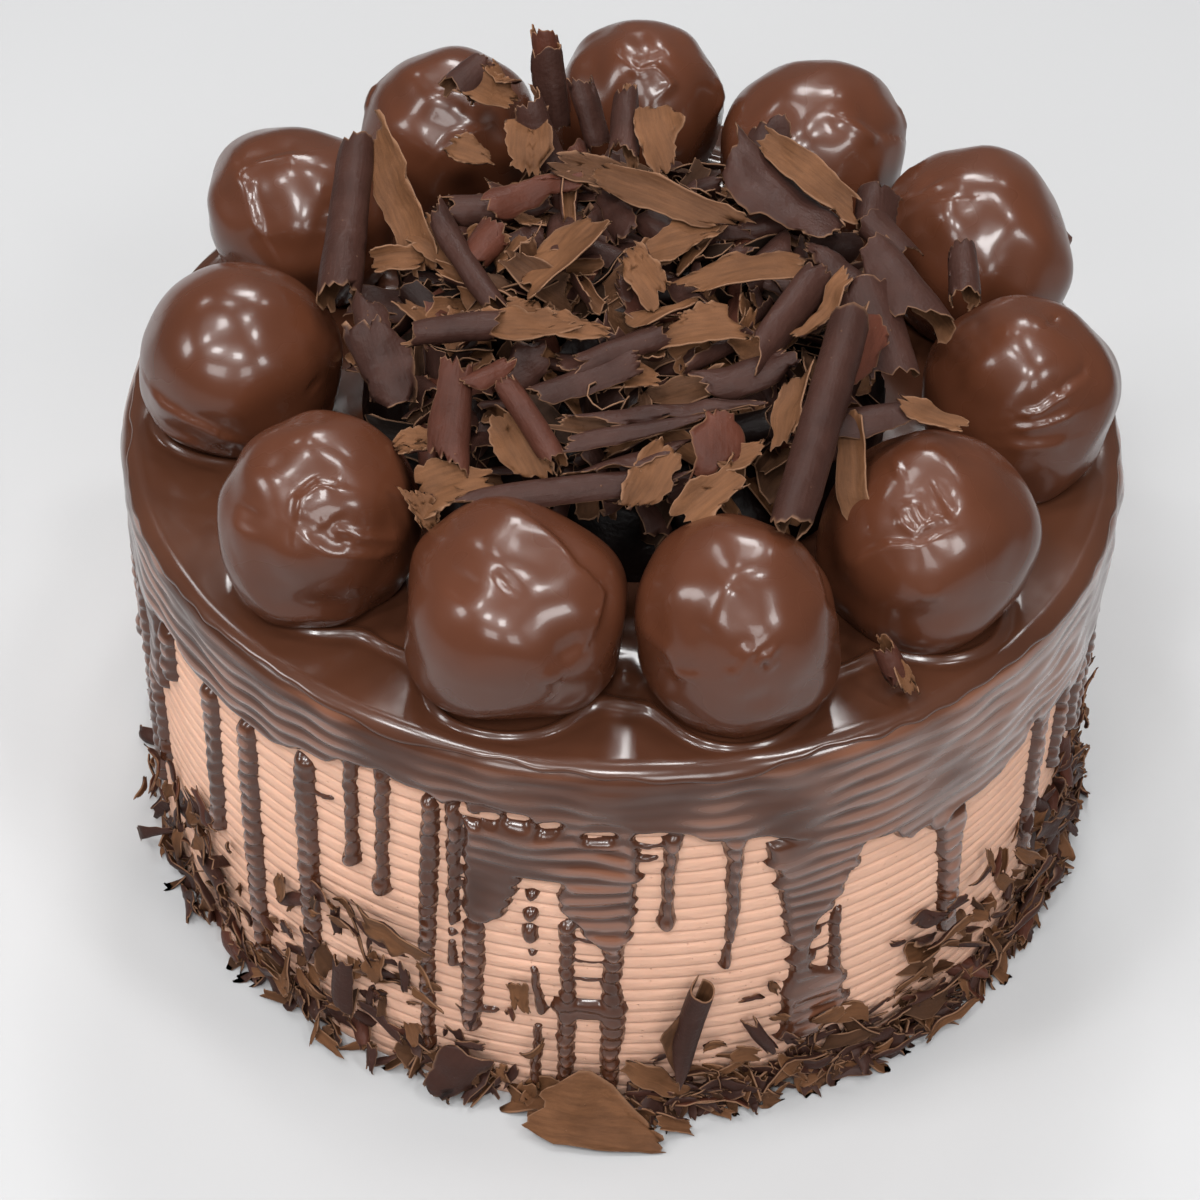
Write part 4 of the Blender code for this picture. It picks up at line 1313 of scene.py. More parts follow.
    @staticmethod
    def _node(ball: Profiterole) -> str:
        """Name of a ball's solid."""
        return f"profiterole_{ball.number:02d}"

    @staticmethod
    def _direction(knot: tuple[float, float]) -> Array:
        """Unit vector of an angle and a lift in degrees."""
        turn, lift = math.radians(knot[0]), math.radians(knot[1])
        return np.array([math.cos(turn) * math.cos(lift), math.sin(turn) * math.cos(lift),
                         math.sin(lift)])

    def _relief(self, ball: Profiterole, ways: Array, half: float) -> Array:
        """Rise of a ball's surface, as a share of its radius.

        Args:
            ball: the ball.
            ways: unit vectors of its points.
            half: its half width in metres.

        Returns:
            The rise of each point.
        """
        rise = ball.lumps * WaveNoise(60 + ball.number, 1.5)(ways)
        rise += ball.ripples * WaveNoise(80 + ball.number, 0.62)(ways)
        rise += 0.0006 * WaveNoise(100 + ball.number, 0.34)(ways)
        for fold in ball.folds:
            ends = [self._direction(knot) for knot in fold.knots]
            best = np.full(len(ways), 9.0)
            sign = np.zeros(len(ways))
            fade = np.ones(len(ways))
            total = len(ends) - 1
            for index, (a, b) in enumerate(zip(ends, ends[1:])):
                along = b - a
                share = np.clip(((ways - a) @ along) / (along @ along), 0.0, 1.0)
                gap = ways - (a + share[:, None] * along)
                away = np.linalg.norm(gap, axis=1)
                better = away < best
                best = np.where(better, away, best)
                across = np.cross(along, 0.5 * (a + b))
                sign = np.where(better, np.sign(gap @ across), sign)
                place = (index + share) / total
                fade = np.where(better, ramp(np.minimum(place, 1 - place), -0.12, 0.22), fade)
            far = best * half / (fold.width * MM)
            rise += fold.height * MM / half * np.exp(-far ** 2) * fade
            cliff = np.tanh(1.6 * far) * np.exp(-(0.3 * far) ** 2)
            rise += fold.step * MM / half * sign * cliff * fade
        return rise

    def build(self, glaze_top: float) -> list[bpy.types.Object]:
        """Make every profiterole.

        Args:
            glaze_top: height of the glaze that they stand on.

        Returns:
            One piece for each.
        """
        feet = self.feet()
        made = []
        for ball, (middle, _) in zip(self.balls, feet):
            low, high = (Vector(corner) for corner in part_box(self._node(ball)))
            half = 0.5 * (high - low)
            shape = bmesh.new()
            bmesh.ops.create_icosphere(shape, subdivisions=self.detail, radius=1.0)
            ways = np.array([vert.co[:] for vert in shape.verts])
            faces = [tuple(vert.index for vert in face.verts) for face in shape.faces]
            shape.free()
            turn = Matrix.Rotation(math.radians(37.0 * ball.number), 3, "Z")
            ways = ways @ np.array(turn).T
            tall = (high.z - glaze_top + 3.0 * MM) / 2.0
            rise = 1.0 + self._relief(ball, ways, half.x)
            power = np.where(ways[:, 2] < 0, ball.squareness, 2.0)
            level = np.hypot(ways[:, 0], ways[:, 1])
            norm = (level ** power + np.abs(ways[:, 2]) ** power) ** (1.0 / power)
            spots = ways / norm[:, None] * rise[:, None]
            spots[:, :2] *= (1.0 + 0.05 * ramp(-spots[:, 2], 0.62, 0.86))[:, None]
            extent = 0.5 * (spots.max(axis=0) - spots.min(axis=0))
            spots = (spots - (spots.max(axis=0) - extent)) / extent
            centre = np.array([middle.x, middle.y, high.z - tall])
            spots = centre + spots * np.array([half.x, half.y, tall])
            for other, _ in feet:
                away = np.array([other.x - middle.x, other.y - middle.y])
                reach = np.linalg.norm(away)
                if 0.001 < reach < 0.060:
                    along = away / reach
                    over = (spots[:, :2] - centre[:2]) @ along - (0.5 * reach - 0.25 * MM)
                    spots[:, :2] -= np.maximum(over, 0.0)[:, None] * along
            spots[:, 2] = np.maximum(spots[:, 2], glaze_top - self.sink)
            obj = piece_from(f"glazed_{self._node(ball)}", spots, faces, self.finish)
            made.append(place_piece(obj, "profiterole_glaze", self._node(ball)))
        return made


# --------------------------------------------------------------------------- curls


class Shape(Enum):
    """What a shaving looks like, with how much tighter it winds towards one side."""

    FLAKE = 0.7
    SCROLL = 1.0
    QUILL = 0.3


class Shaving:
    """What every shaving has.

    Its length and width (mm), wrap (degrees) and tone (0 to 1), its taper, which is how wide
    its far and near ends are and how much of that is cut from the left, and how torn it is.
    """

    length: float
    width: float
    wrap: float
    tone: float
    taper: tuple[float, float, float] | None
    torn: float

    @property
    def shape(self) -> Shape:
        """Flake, scroll or quill, by its wrap."""
        if self.wrap <= 150:
            return Shape.FLAKE
        return Shape.SCROLL if self.wrap < 330 else Shape.QUILL


@dataclass(frozen=True)
class Curl(Shaving):
    """One shaving of chocolate: place (mm), heading, pitch and roll (degrees), size (mm).

    The sheet is a trough open upwards at roll 0, and it is rolled up at a wrap over 150 degrees.
    """

    place: tuple[float, float, float]
    heading: float
    pitch: float
    roll: float
    length: float
    width: float
    wrap: float
    tone: float = 0.5
    taper: tuple[float, float, float] | None = None
    torn: float = 1.0

    def pose(self) -> tuple[Array, Array]:
        """Turn of the shaving as 3 by 3, and its place in metres."""
        turn = Euler((math.radians(self.pitch), 0.0, math.radians(self.heading - 90.0)))
        spin = Matrix.Rotation(math.radians(self.roll), 3, "Y")
        return np.array(turn.to_matrix() @ spin), np.array(self.place) * MM


@dataclass
class CurlMaker:
    """Makes shavings with torn ends, thin rims and two sides."""

    thick: float = 0.60 * MM
    tear: float = 1.9
    draw: np.random.Generator = field(default_factory=lambda: np.random.default_rng(17))

    def _edge(self, count: int, slow: float, sharp: float) -> Array:
        """Set-back of each point of an edge: a slow wave and sharp small tears of given depths."""
        wave = np.interp(np.linspace(0, 1, count), np.linspace(0, 1, 6), self.draw.random(6))
        return slow * wave + sharp * self.draw.random(count) ** 2

    def _section(self, shaving: Shaving, spots: Array) -> tuple[Array, Array]:
        """Cross section of a shaving, an arc that winds tighter towards one side.

        Args:
            shaving: its sizes.
            spots: places along the arc, 0 to 1.

        Returns:
            The arc's x and z at those places, in metres.
        """
        bend = math.radians(shaving.wrap)
        flake = shaving.shape is Shape.FLAKE
        power = shaving.shape.value * (self.draw.uniform(0.0, 2.2) if flake else 1.0)
        arc = 0.5 * shaving.width * bend / (math.sin(0.5 * bend) if flake else 1.0)
        along = np.linspace(0.0, 1.0, 161)
        turn = bend * (along ** (power + 1.0) - 0.5 ** (power + 1.0))
        step = arc / 160 * MM
        x, z = np.cumsum(np.cos(turn)) * step, np.cumsum(np.sin(turn)) * step
        x, z = (x - x[80], z - z[80]) if flake else (x - x[80:].mean(), z - z[80:].mean())
        if self.draw.random() < 0.5:
            x, z = -x[::-1], z[::-1]
        return np.interp(spots, along, x), np.interp(spots, along, z)

    def sheet(self, shaving: Shaving, across: int, along: int) -> tuple[Array, list, dict[str, Array]]:
        """Points, faces and attributes of one shaving.

        Args:
            shaving: its sizes and place.
            across: cells round its wrap.
            along: cells along its length.

        Returns:
            The points, the faces and the side, rim, tone and flow of each point.
        """
        flake = shaving.shape is Shape.FLAKE
        fine = 0.05 if flake else 0.025
        u = np.concatenate([[0, fine], np.linspace(0, 1, across + 1)[1:-1], [1 - fine, 1]])
        v = np.concatenate([[0, 0.02], np.linspace(0, 1, along + 1)[1:-1], [0.98, 1]])
        nu, nv = len(u), len(v)
        draw, length = self.draw, shaving.length * MM
        tear = self.tear * shaving.torn
        ends = [self._edge(nu, 0.11, tear / shaving.length) + 0.5 * abs(slant) + slant * (u - 0.5)
                for slant in draw.uniform(-0.22, 0.22, 2) * shaving.torn]
        tips = draw.uniform((0.4, 0.45), 1.1) if flake else draw.uniform((0.7, 0.75), 1.05)
        *tips, lean = shaving.taper or (*np.minimum(tips, 1.0), draw.uniform(0.1, 0.9))
        narrow = (tips[0] + (1 - tips[0]) * ramp(1 - v, -0.2, 0.75)) * (
            tips[1] + (1 - tips[1]) * ramp(v, -0.2, 0.4))
        notch = (0.20 if flake else 0.10) * min(shaving.torn, 1.0)
        left = lean * (1.0 - narrow) + self._edge(nv, notch, 0.35 * notch)
        right = (1.0 - lean) * (1.0 - narrow) + self._edge(nv, notch, 0.35 * notch)
        uu = left[:, None] + (1.0 - left - right)[:, None] * u[None, :]
        vv = ends[0][None, :] + (1.0 - ends[0] - ends[1])[None, :] * v[:, None]
        x, z = self._section(shaving, uu)
        if not flake and not shaving.taper:
            grown = 1.0 + draw.uniform(-0.7, 0.7) * (vv - 0.5)
            x, z = x * grown, z * grown
        twist = draw.uniform(-0.45, 0.45) * (vv - 0.5)
        x, z = x * np.cos(twist) - z * np.sin(twist), x * np.sin(twist) + z * np.cos(twist)
        y = (vv - 0.5) * length + draw.uniform(-0.25, 0.25) * (uu - 0.5) * shaving.width * MM
        bow = draw.uniform(-0.13, 0.13) if flake else draw.uniform(-0.04, 0.04)
        z = z + bow * length * (4.0 * (vv - 0.5) ** 2 - 0.33)
        middle = np.stack([x, y, z], axis=-1)
        crumple = WaveNoise(int(draw.integers(1, 9999)), 8.0 * MM)(middle)
        middle = middle + (0.32 if flake else 0.12) * MM * crumple[..., None] * np.array([0.4, 0.2, 1.0])
        normal = np.cross(np.gradient(middle, axis=1), np.gradient(middle, axis=0))
        normal /= np.maximum(np.linalg.norm(normal, axis=-1, keepdims=True), 1e-12)
        edge = np.minimum(np.minimum(u, 1 - u)[None, :], np.minimum(v, 1 - v)[:, None])
        plump = self.thick * (0.45 + 0.55 * ramp(edge, 0.0, 0.12))[..., None]
        upper, lower = middle + 0.5 * plump * normal, middle - 0.5 * plump * normal
        rim = (edge < 1e-6).astype(float).ravel()
        cells = [(r * nu + c, r * nu + c + 1, (r + 1) * nu + c + 1, (r + 1) * nu + c)
                 for r in range(nv - 1) for c in range(nu - 1)]
        size = nu * nv
        faces = list(cells) + [tuple(size + i for i in cell[::-1]) for cell in cells]
        loop = ([c for c in range(nu)] + [r * nu + nu - 1 for r in range(1, nv)]
                + [(nv - 1) * nu + c for c in range(nu - 2, -1, -1)]
                + [r * nu for r in range(nv - 2, 0, -1)])
        faces += [(b, a, size + a, size + b) for a, b in zip(loop, loop[1:] + loop[:1])]
        points = np.concatenate([upper.reshape(-1, 3), lower.reshape(-1, 3)])
        flow = np.stack([uu * shaving.width * math.radians(max(shaving.wrap, 60.0)) * 0.7,
                         vv * shaving.length * 0.09, np.full_like(uu, draw.uniform(0, 90))],
                        axis=-1).reshape(-1, 3)
        values = {"side": np.concatenate([np.ones(size), np.zeros(size)]),
                  "rim": np.concatenate([rim, rim]), "tone": np.full(2 * size, shaving.tone),
                  "flow": np.concatenate([flow, flow])}
        turn, place = shaving.pose()
        return points @ turn.T + place, faces, values

    def bundle(self, name: str, curls: Iterable[Shaving], cells: tuple[int, int],
               material: bpy.types.Material,
               keep: Callable[[Array], Array] | None = None) -> bpy.types.Object:
        """Many shavings as one piece.

        Args:
            name: the piece's name.
            curls: the shavings.
            cells: cells across and along a flake; rolled ones get more across.
            material: the finish.
            keep: moves a shaving's points to where they are allowed.

        Returns:
            The object.
        """
        points: list[Array] = []
        faces: list[tuple[int, ...]] = []
        values: dict[str, list[Array]] = {"side": [], "rim": [], "tone": [], "flow": []}
        offset = 0
        for curl in curls:
            grow = {Shape.FLAKE: 1.0, Shape.SCROLL: 1.6, Shape.QUILL: 2.4}[curl.shape]
            spots, cells_made, extra = self.sheet(curl, round(cells[0] * grow), cells[1])
            spots = keep(spots) if keep else spots
            points.append(spots)
            faces += [tuple(offset + i for i in cell) for cell in cells_made]
            offset += len(spots)
            for label, numbers in extra.items():
                values[label].append(numbers)
        joined = {label: np.concatenate(numbers) for label, numbers in values.items()}
        return piece_from(name, np.concatenate(points), faces, material, joined)

    def kinds(self, name: str, count: int, lengths: tuple[float, float],
              widths: tuple[float, float], cells: tuple[int, int],
              rolls: float, material: bpy.types.Material) -> bpy.types.Collection:
        """Collection of shavings to scatter, out of the scene.

        Args:
            name: the collection's name.
            count: how many kinds it holds.
            lengths: shortest and longest (mm).
            widths: narrowest and widest (mm).
            cells: cells across and along.
            rolls: share of them that are quills.
            material: the finish.

        Returns:
            The collection.
        """
        group = bpy.data.collections.new(name)
        draw = self.draw
        for index in range(count):
            rolled = index < round(rolls * count)
            wrap = draw.uniform(220, 360) if rolled else draw.uniform(40, 110)
            width = draw.uniform(*widths) * (0.6 if rolled else 1.0)
            curl = Curl((0, 0, 0), 90, 0, 0 if index % 2 else 180, draw.uniform(*lengths), width, wrap)
            obj = self.bundle(f"{name}_{index}", [curl], cells, material)
            obj.data.attributes.remove(obj.data.attributes["tone"])
            bpy.context.scene.collection.objects.unlink(obj)
            group.objects.link(obj)
        return group


@dataclass
class ShavingScatter:
    """Scatters shavings over a surface with Geometry Nodes."""

    finish: bpy.types.Material

    def _tree(self, kinds: bpy.types.Collection) -> bpy.types.NodeTree:
        """Tree that scatters shavings over a surface and realizes them.

        Args:
            kinds: the shavings that are scattered.

        Returns:
            The Geometry Nodes tree.
        """
        graph, take, give = new_tree(
            "scattered_shavings", "GeometryNodeTree",
            [("Surface", GEOMETRY, None), ("Finish", "NodeSocketMaterial", None),
             ("Spacing", FLOAT, 0.004), ("Density", FLOAT, 60000.0),
             ("Seed", "NodeSocketInt", 1), ("Tilt", FLOAT, 0.5),
             ("Smallest", FLOAT, 0.6), ("Largest", FLOAT, 1.2), ("Darkest", FLOAT, 0.0)],
            [("Geometry", GEOMETRY)])
        seed, tilt = take["Seed"], take["Tilt"]
        mask = graph.node("GeometryNodeInputNamedAttribute", {"Name": "cover"},
                          data_type="FLOAT").outputs[0]
        spots = graph.node("GeometryNodeDistributePointsOnFaces", {
            "Mesh": take["Surface"], "Distance Min": take["Spacing"],
            "Density Max": take["Density"], "Density Factor": mask, "Seed": seed},
            distribute_method="POISSON").outputs
        info = graph.node("GeometryNodeCollectionInfo", {
            "Collection": kinds, "Separate Children": True, "Reset Children": True})
        back = graph.math("MULTIPLY", tilt, -1.0)
        low, high = (graph.node("ShaderNodeCombineXYZ", {0: lean, 1: lean, 2: spin}).outputs[0]
                     for lean, spin in ((back, -math.pi), (tilt, math.pi)))
        turn = graph.node("FunctionNodeRandomValue", {0: low, 1: high, "Seed": seed},
                          data_type="FLOAT_VECTOR").outputs[0]
        # tones below 0, down to Darkest, are painted darker as shade by the curl finish
        size, tone = (graph.node("FunctionNodeRandomValue", {
            **ends, "Seed": graph.math("ADD", seed, step)}, data_type="FLOAT").outputs[1]
            for ends, step in (({2: take["Smallest"], 3: take["Largest"]}, 1.0),
                               ({2: take["Darkest"]}, 2.0)))
        placed = graph.node("GeometryNodeInstanceOnPoints", {
            "Points": spots["Points"], "Instance": info.outputs[0], "Pick Instance": True,
            "Rotation": spots["Rotation"], "Scale": size})
        spun = graph.node("GeometryNodeRotateInstances", {"Instances": placed.outputs[0],
                                                          "Rotation": turn, "Local Space": True})
        made = graph.shaped("GeometryNodeStoreNamedAttribute", spun.outputs[0], {
            "Name": "tone", "Value": tone}, data_type="FLOAT", domain="INSTANCE")
        made = graph.shaped("GeometryNodeRealizeInstances", made)
        made = graph.shaped("GeometryNodeSetMaterial", made, {"Material": take["Finish"]})
        graph.feed(give["Geometry"], made)
        return graph.tree

    def scatter(self, surface: bpy.types.Object, kinds: bpy.types.Collection,
                values: dict[str, Any]) -> bpy.types.Object:
        """Turn a surface into shavings scattered over it.

        Args:
            surface: mesh with a cover attribute, which becomes the result.
            kinds: what is scattered; it is removed afterwards.
            values: the tree's inputs.

        Returns:
            The same object.
        """
        tree = self._tree(kinds)
        run_nodes(surface, tree, {"Finish": self.finish, **values})
        for obj in list(kinds.objects):
            bpy.data.objects.remove(obj)
        bpy.data.collections.remove(kinds)
        return surface


@dataclass
class CurlHeap:
    """Heap of curls in the middle: large ones listed one by one, a scattered bed under them, and a core."""

    finish: bpy.types.Material
    maker: CurlMaker
    scatterer: ShavingScatter
    bed_seed: int = 4
    strewn: int = 84
    strewn_seed: int = 23
    strewn_reach: float = 50.0
    golden_angle: float = 137.5
    bed_lift: float = 3.0 * MM
    bed_edge: tuple[float, float] = (0.112, 0.122)
    core_columns: int = 72
    core_rows: int = 26
    core_rings: tuple[tuple[float, float], ...] = (
        (0.5, 132), (22, 131), (38, 126), (47, 118), (53, 108), (54, 100.5))
    curls: tuple[Curl, ...] = tuple(Curl(row[:3], *row[3:]) for row in (
        (-55, 10, 137, -90, -16, 180, 46, 8, 420, 0.3), (-47, 16, 139, -64, -19, 40, 44, 10, 80, 0.6),
        (-34, -3, 140, -59, -10, 150, 37, 6, 230, 0.3), (-27, 17, 135, 14, 0, 180, 26, 8, 220, 0.2),
        (-27, 0, 139, 55, 13, 180, 16, 7, 200, 0.95), (-13, -5, 142, 52, 10, -25, 32, 17, 60, 0.8),
        (-20, 17, 142, 34, 5, 200, 25, 9, 110, 1.0), (7, 11, 144, -27, -4, 20, 40, 9, 110, 0.35, None, 1.5),
        (-6, 21, 143, -18, 0, 30, 26, 8, 90, 0.2, None, 1.5), (-31, 51, 141, -9, -23, 20, 15, 11, 90, 0.6),
        (-29, 55, 142, 70, -30, 20, 12, 9, 80, 0.7), (-37, 55, 143, 48, 13, 180, 12, 6, 280, 0.2),
        (-20, 59, 141, 118, 64, 180, 23, 6, 330, 0.95), (-16, 56, 140, 110, 66, 170, 20, 6, 250, 0.8),
        (-18, 42, 139, -50, -52, 180, 22, 6, 250, 0.25), (-11, 48, 138, -60, -52, 170, 18, 6, 200, 0.3),
        (-22, 37, 139, -87, -20, 0, 21, 14, 60, 0.6), (-33, 33, 138, -20, -6, 10, 14, 9, 80, 0.5),
        (-1, 36, 145, -88, -19, 180, 26, 5.5, 400, 0.35), (6, 29, 146, -72, -22, 20, 20, 12, 90, 0.75),
        (28, 18, 144, -45, -7, 185, 38, 17, 70, 0.2, (0.7, 0.9, 0.5), 0.8),
        (35, 21, 145, -47, -6, 25, 37, 9, 90, 0.5, (0.8, 0.8, 0.5), 1.0),
        (27, 36, 141, -94, -40, 180, 16, 10, 90, 0.35), (46, 17, 140, -96, -5, 180, 13, 7, 260, 0.3),
        (23, -10, 143, 10, 6, 0, 34, 12, 70, 0.75, None, 1.5),
        (15, -24, 141, 4, 7, 10, 23, 11, 70, 0.55, None, 1.5),
        (28, -22, 144, -119, -9, 140, 36, 6.5, 220, 0.25), (37, -20, 144, -128, -17, 20, 25, 6, 90, 0.8),
        (35, -50, 143, -104, -14, 180, 58, 7.5, 430, 0.1, (0.8, 1, 0.5), 0.6),
        (43, -33, 144, -115, -18, 150, 20, 10, 90, 1.0), (31, -45, 140, -100, -18, 40, 22, 9, 110, 0.45),
        (55, -9, 142, -56, -18, 160, 29, 10, 240, 0.4), (52, -20, 139, -73, -18, 180, 24, 11, 240, 0.35),
        (66, -6, 143, -88, -12, 180, 17, 5.5, 380, 0.3), (57, -45, 140, -22, -4, 20, 16, 5.5, 70, 0.8),
        (43, -53, 133, -82, -38, 30, 24, 7, 80, 0.65), (-32, -30, 142, 8, 2, 180, 22, 6, 320, 0.75),
        (-17, -26, 142, 6, 0, 10, 22, 10, 70, 0.85, None, 1.5),
        (-46, -29, 133, -63, -30, 200, 24, 14, 120, 0.2), (-49, -20, 134, -75, -25, 190, 22, 9, 110, 0.3),
        (-38, -49, 131, -6, 9, 0, 11, 11, 90, 0.8), (-33, -48, 131, -80, -20, 90, 12, 7, 130, 0.2),
        (-30, -60, 131, 9, 16, 10, 17, 14, 60, 0.85), (-36, -64, 129, -52, -40, 10, 11, 7, 70, 0.85),
        (-29, -49, 138, -90, -25, 180, 25, 8, 160, 0.9), (-25, -40, 142, 40, 0, 180, 14, 7, 120, 0.95),
        (-18, -52, 140, -53, -23, 180, 25, 4.6, 380, 0.9), (-19, -53, 135, -61, -17, 20, 18, 11, 70, 0.6),
        (8, -46, 140, 9, 4, 165, 44, 6, 140, 0.45, (0.4, 0.7, 0.3), 1.4),
        (4, -50, 139, 13, 3, 190, 42, 5, 160, 0.2, (0.3, 0.8, 0.6), 1.2),
        (2, -47, 137, 5, 2, 20, 36, 7, 100, 0.15, (0.5, 0.4, 0.5), 1.4),
        (2, -55, 136, 22, 3, 150, 30, 6, 150, 0.2, (0.5, 0.6, 0.4), 1.3),
        (-12, -61, 134, 10, 3, 200, 40, 5.5, 160, 0.35, (1, 0.3, 0.4), 1.2),
        (0, -60, 133, 8, 3, 180, 30, 5.5, 150, 0.3, (0.5, 0.6, 0.5), 1.3),
        (5, -60, 135, 63, 18, 20, 20, 11, 70, 0.75), (16, -63, 134, 41, 14, 20, 19, 9, 70, 0.8),
        (22, -55, 137, 20, 10, 10, 12, 7, 80, 0.85), (18, -53, 138, -88, -33, 170, 16, 12, 60, 0.95),
        (45, -42, 138, 14, 0, 180, 20, 8, 160, 0.15), (38, -50, 134, 30, -5, 180, 18, 8, 160, 0.2),
        (-20, -20, 140, 0, 0, 0, 12, 9, 70, 0.75), (-11, -25, 141, -14, 0, 10, 18, 9, 60, 0.75),
        (3, -9, 141, -58, -9, 30, 18, 9, 80, 0.7), (-8, -34, 138, 30, 6, 180, 26, 8, 160, 0.1),
        (0, -31, 140, 28, 4, 180, 24, 6, 160, 0.15), (22, -34, 140, 22, 8, 180, 24, 9, 150, 0.35),
        (10, 2, 142, 24, 4, 0, 26, 12, 70, 0.5), (-38, 4, 136, -50, -6, 20, 20, 10, 90, 0.6),
        (-46, 2, 134, 10, 4, 20, 12, 6, 150, 0.75), (40, -2, 141, 130, 6, 180, 18, 8, 130, 0.3),
        (50, 8, 139, -40, -8, 180, 16, 7, 200, 0.3)))

    def _dome(self) -> bpy.types.Object:
        """Turned core under the curls, uneven and closed.

        Returns:
            The core object.
        """
        count, knots = self.core_columns, np.linspace(0, 5, self.core_rows)
        turns = np.linspace(0.0, 2.0 * math.pi, count, endpoint=False)
        radii, levels = (np.interp(knots, range(6), column) for column in zip(*self.core_rings))
        rows = [np.column_stack([r * np.cos(turns), r * np.sin(turns), np.full(count, z)])
                for r, z in zip(radii, levels)]
        points = np.concatenate(rows + [np.array([[0, 0, levels[0]], [0, 0, levels[-1]]])])
        rise = 1.6 * WaveNoise(51, 14.0)(points) + 0.8 * WaveNoise(52, 5.0)(points)
        points[:, 2] += np.where(points[:, 2] > 104, rise, 0.0)
        faces: list[Sequence[int]] = []
        for row in range(len(rows) - 1):
            faces += ring_faces(row * count, (row + 1) * count, count)
        faces += fan_faces(len(points) - 2, 0, count)
        faces += fan_faces(len(points) - 1, (len(rows) - 1) * count, count, down=True)
        # a tone of -0.6 paints the core near black, as painted shade in the gaps between the curls
        values = {"side": np.zeros(len(points)), "rim": np.zeros(len(points)),
                  "tone": np.full(len(points), -0.6), "flow": points}
        return piece_from("curl_heap_core", points * MM, faces, self.finish, values)

    def _strewn(self) -> list[Curl]:
        """Shards between the large curls, spread by a seeded rule.

        Returns:
            The shards.
        """
        draw = np.random.default_rng(self.strewn_seed)
        shards = []
        for index in range(self.strewn):
            reach = self.strewn_reach * math.sqrt((index + 0.5) / self.strewn)
            turn = math.radians(self.golden_angle * index)
            level = float(np.interp(reach, *zip(*self.core_rings))) + draw.uniform(4.0, 8.5)
            place = (reach * math.cos(turn), reach * math.sin(turn), level)
            rolled = draw.random() < 0.35
            wrap = draw.uniform(170, 290) if rolled else draw.uniform(50, 130)
            shards.append(Curl(place, draw.uniform(-180, 180), draw.uniform(-26, 26),
                               180.0 * (draw.random() < 0.5) + draw.uniform(-45, 45),
                               draw.uniform(11, 24), draw.uniform(3.5, 6) if rolled
                               else draw.uniform(5, 11), wrap, draw.random()))
        return shards

    def build(self) -> list[bpy.types.Object]:
        """Make the heap.

        Returns:
            Its pieces.
        """
        core = self._dome()
        bed = core.copy()
        bed.data = core.data.copy()
        bed.name = "curl_heap_bed"
        bpy.context.scene.collection.objects.link(bed)
        for vert in bed.data.vertices:
            vert.co.z += self.bed_lift
        levels = np.array([vert.co.z for vert in bed.data.vertices])
        cover = bed.data.attributes.new("cover", "FLOAT", "POINT")
        cover.data.foreach_set("value", ramp(levels, *self.bed_edge).astype(np.float32))
        kinds = self.maker.kinds("bed_shaving", 16, (13, 26), (5, 11), (5, 7), 0.25, self.finish)
        # a Darkest of -0.85 gives many bed shards a tone below 0, painted near black as shade in the heap's
        # gaps
        self.scatterer.scatter(bed, kinds, {
            "Spacing": 3.9 * MM, "Density": 140000.0, "Seed": self.bed_seed, "Tilt": 0.75,
            "Smallest": 0.6, "Largest": 1.1, "Darkest": -0.85})
        big = self.maker.bundle("curl_heap_curls", self.curls, (10, 14), self.finish)
        strewn = self.maker.bundle("curl_heap_shards", self._strewn(), (7, 9), self.finish)
        return [place_piece(piece, "chocolate_curl", "chocolate_curls")
                for piece in (core, bed, big, strewn)]


# --------------------------------------------------------------------------- side shavings


@dataclass(frozen=True)
class SideCurl(Shaving):
    """A shaving on the wall: angle (degrees), height (mm) and slope (degrees) along the wall.

    Peel lifts its far end off the wall, lean turns it about its length, off is how far it
    stands out (mm), and back shows its outer side.
    """

    length: float
    width: float
    wrap: float
    tone: float
    angle: float
    height: float
    slope: float
    peel: float = 0.0
    lean: float = 0.0
    off: float = 1.2
    back: bool = True
    taper: tuple[float, float, float] | None = None
    torn: float = 1.0

    def pose(self) -> tuple[Array, Array]:
        """Turn and place of the shaving.

        Returns:
            The turn as 3 by 3, and the place in metres.
        """
        turn = math.radians(self.angle)
        out = Vector((math.cos(turn), math.sin(turn), 0.0))
        side = Vector((-out.y, out.x, 0.0))
        slope = math.radians(self.slope)
        along = side * math.cos(slope) + Vector((0, 0, 1)) * math.sin(slope)
        face = out if not self.back else -out
        across = along.cross(face)
        base = Matrix((across, along, face)).transposed()
        spin = Euler((math.radians(self.peel if not self.back else -self.peel),
                      math.radians(self.lean), 0.0)).to_matrix()
        reach = (WALL_MM + self.off) * MM
        return np.array(base @ spin), np.array([out.x * reach, out.y * reach, self.height * MM])


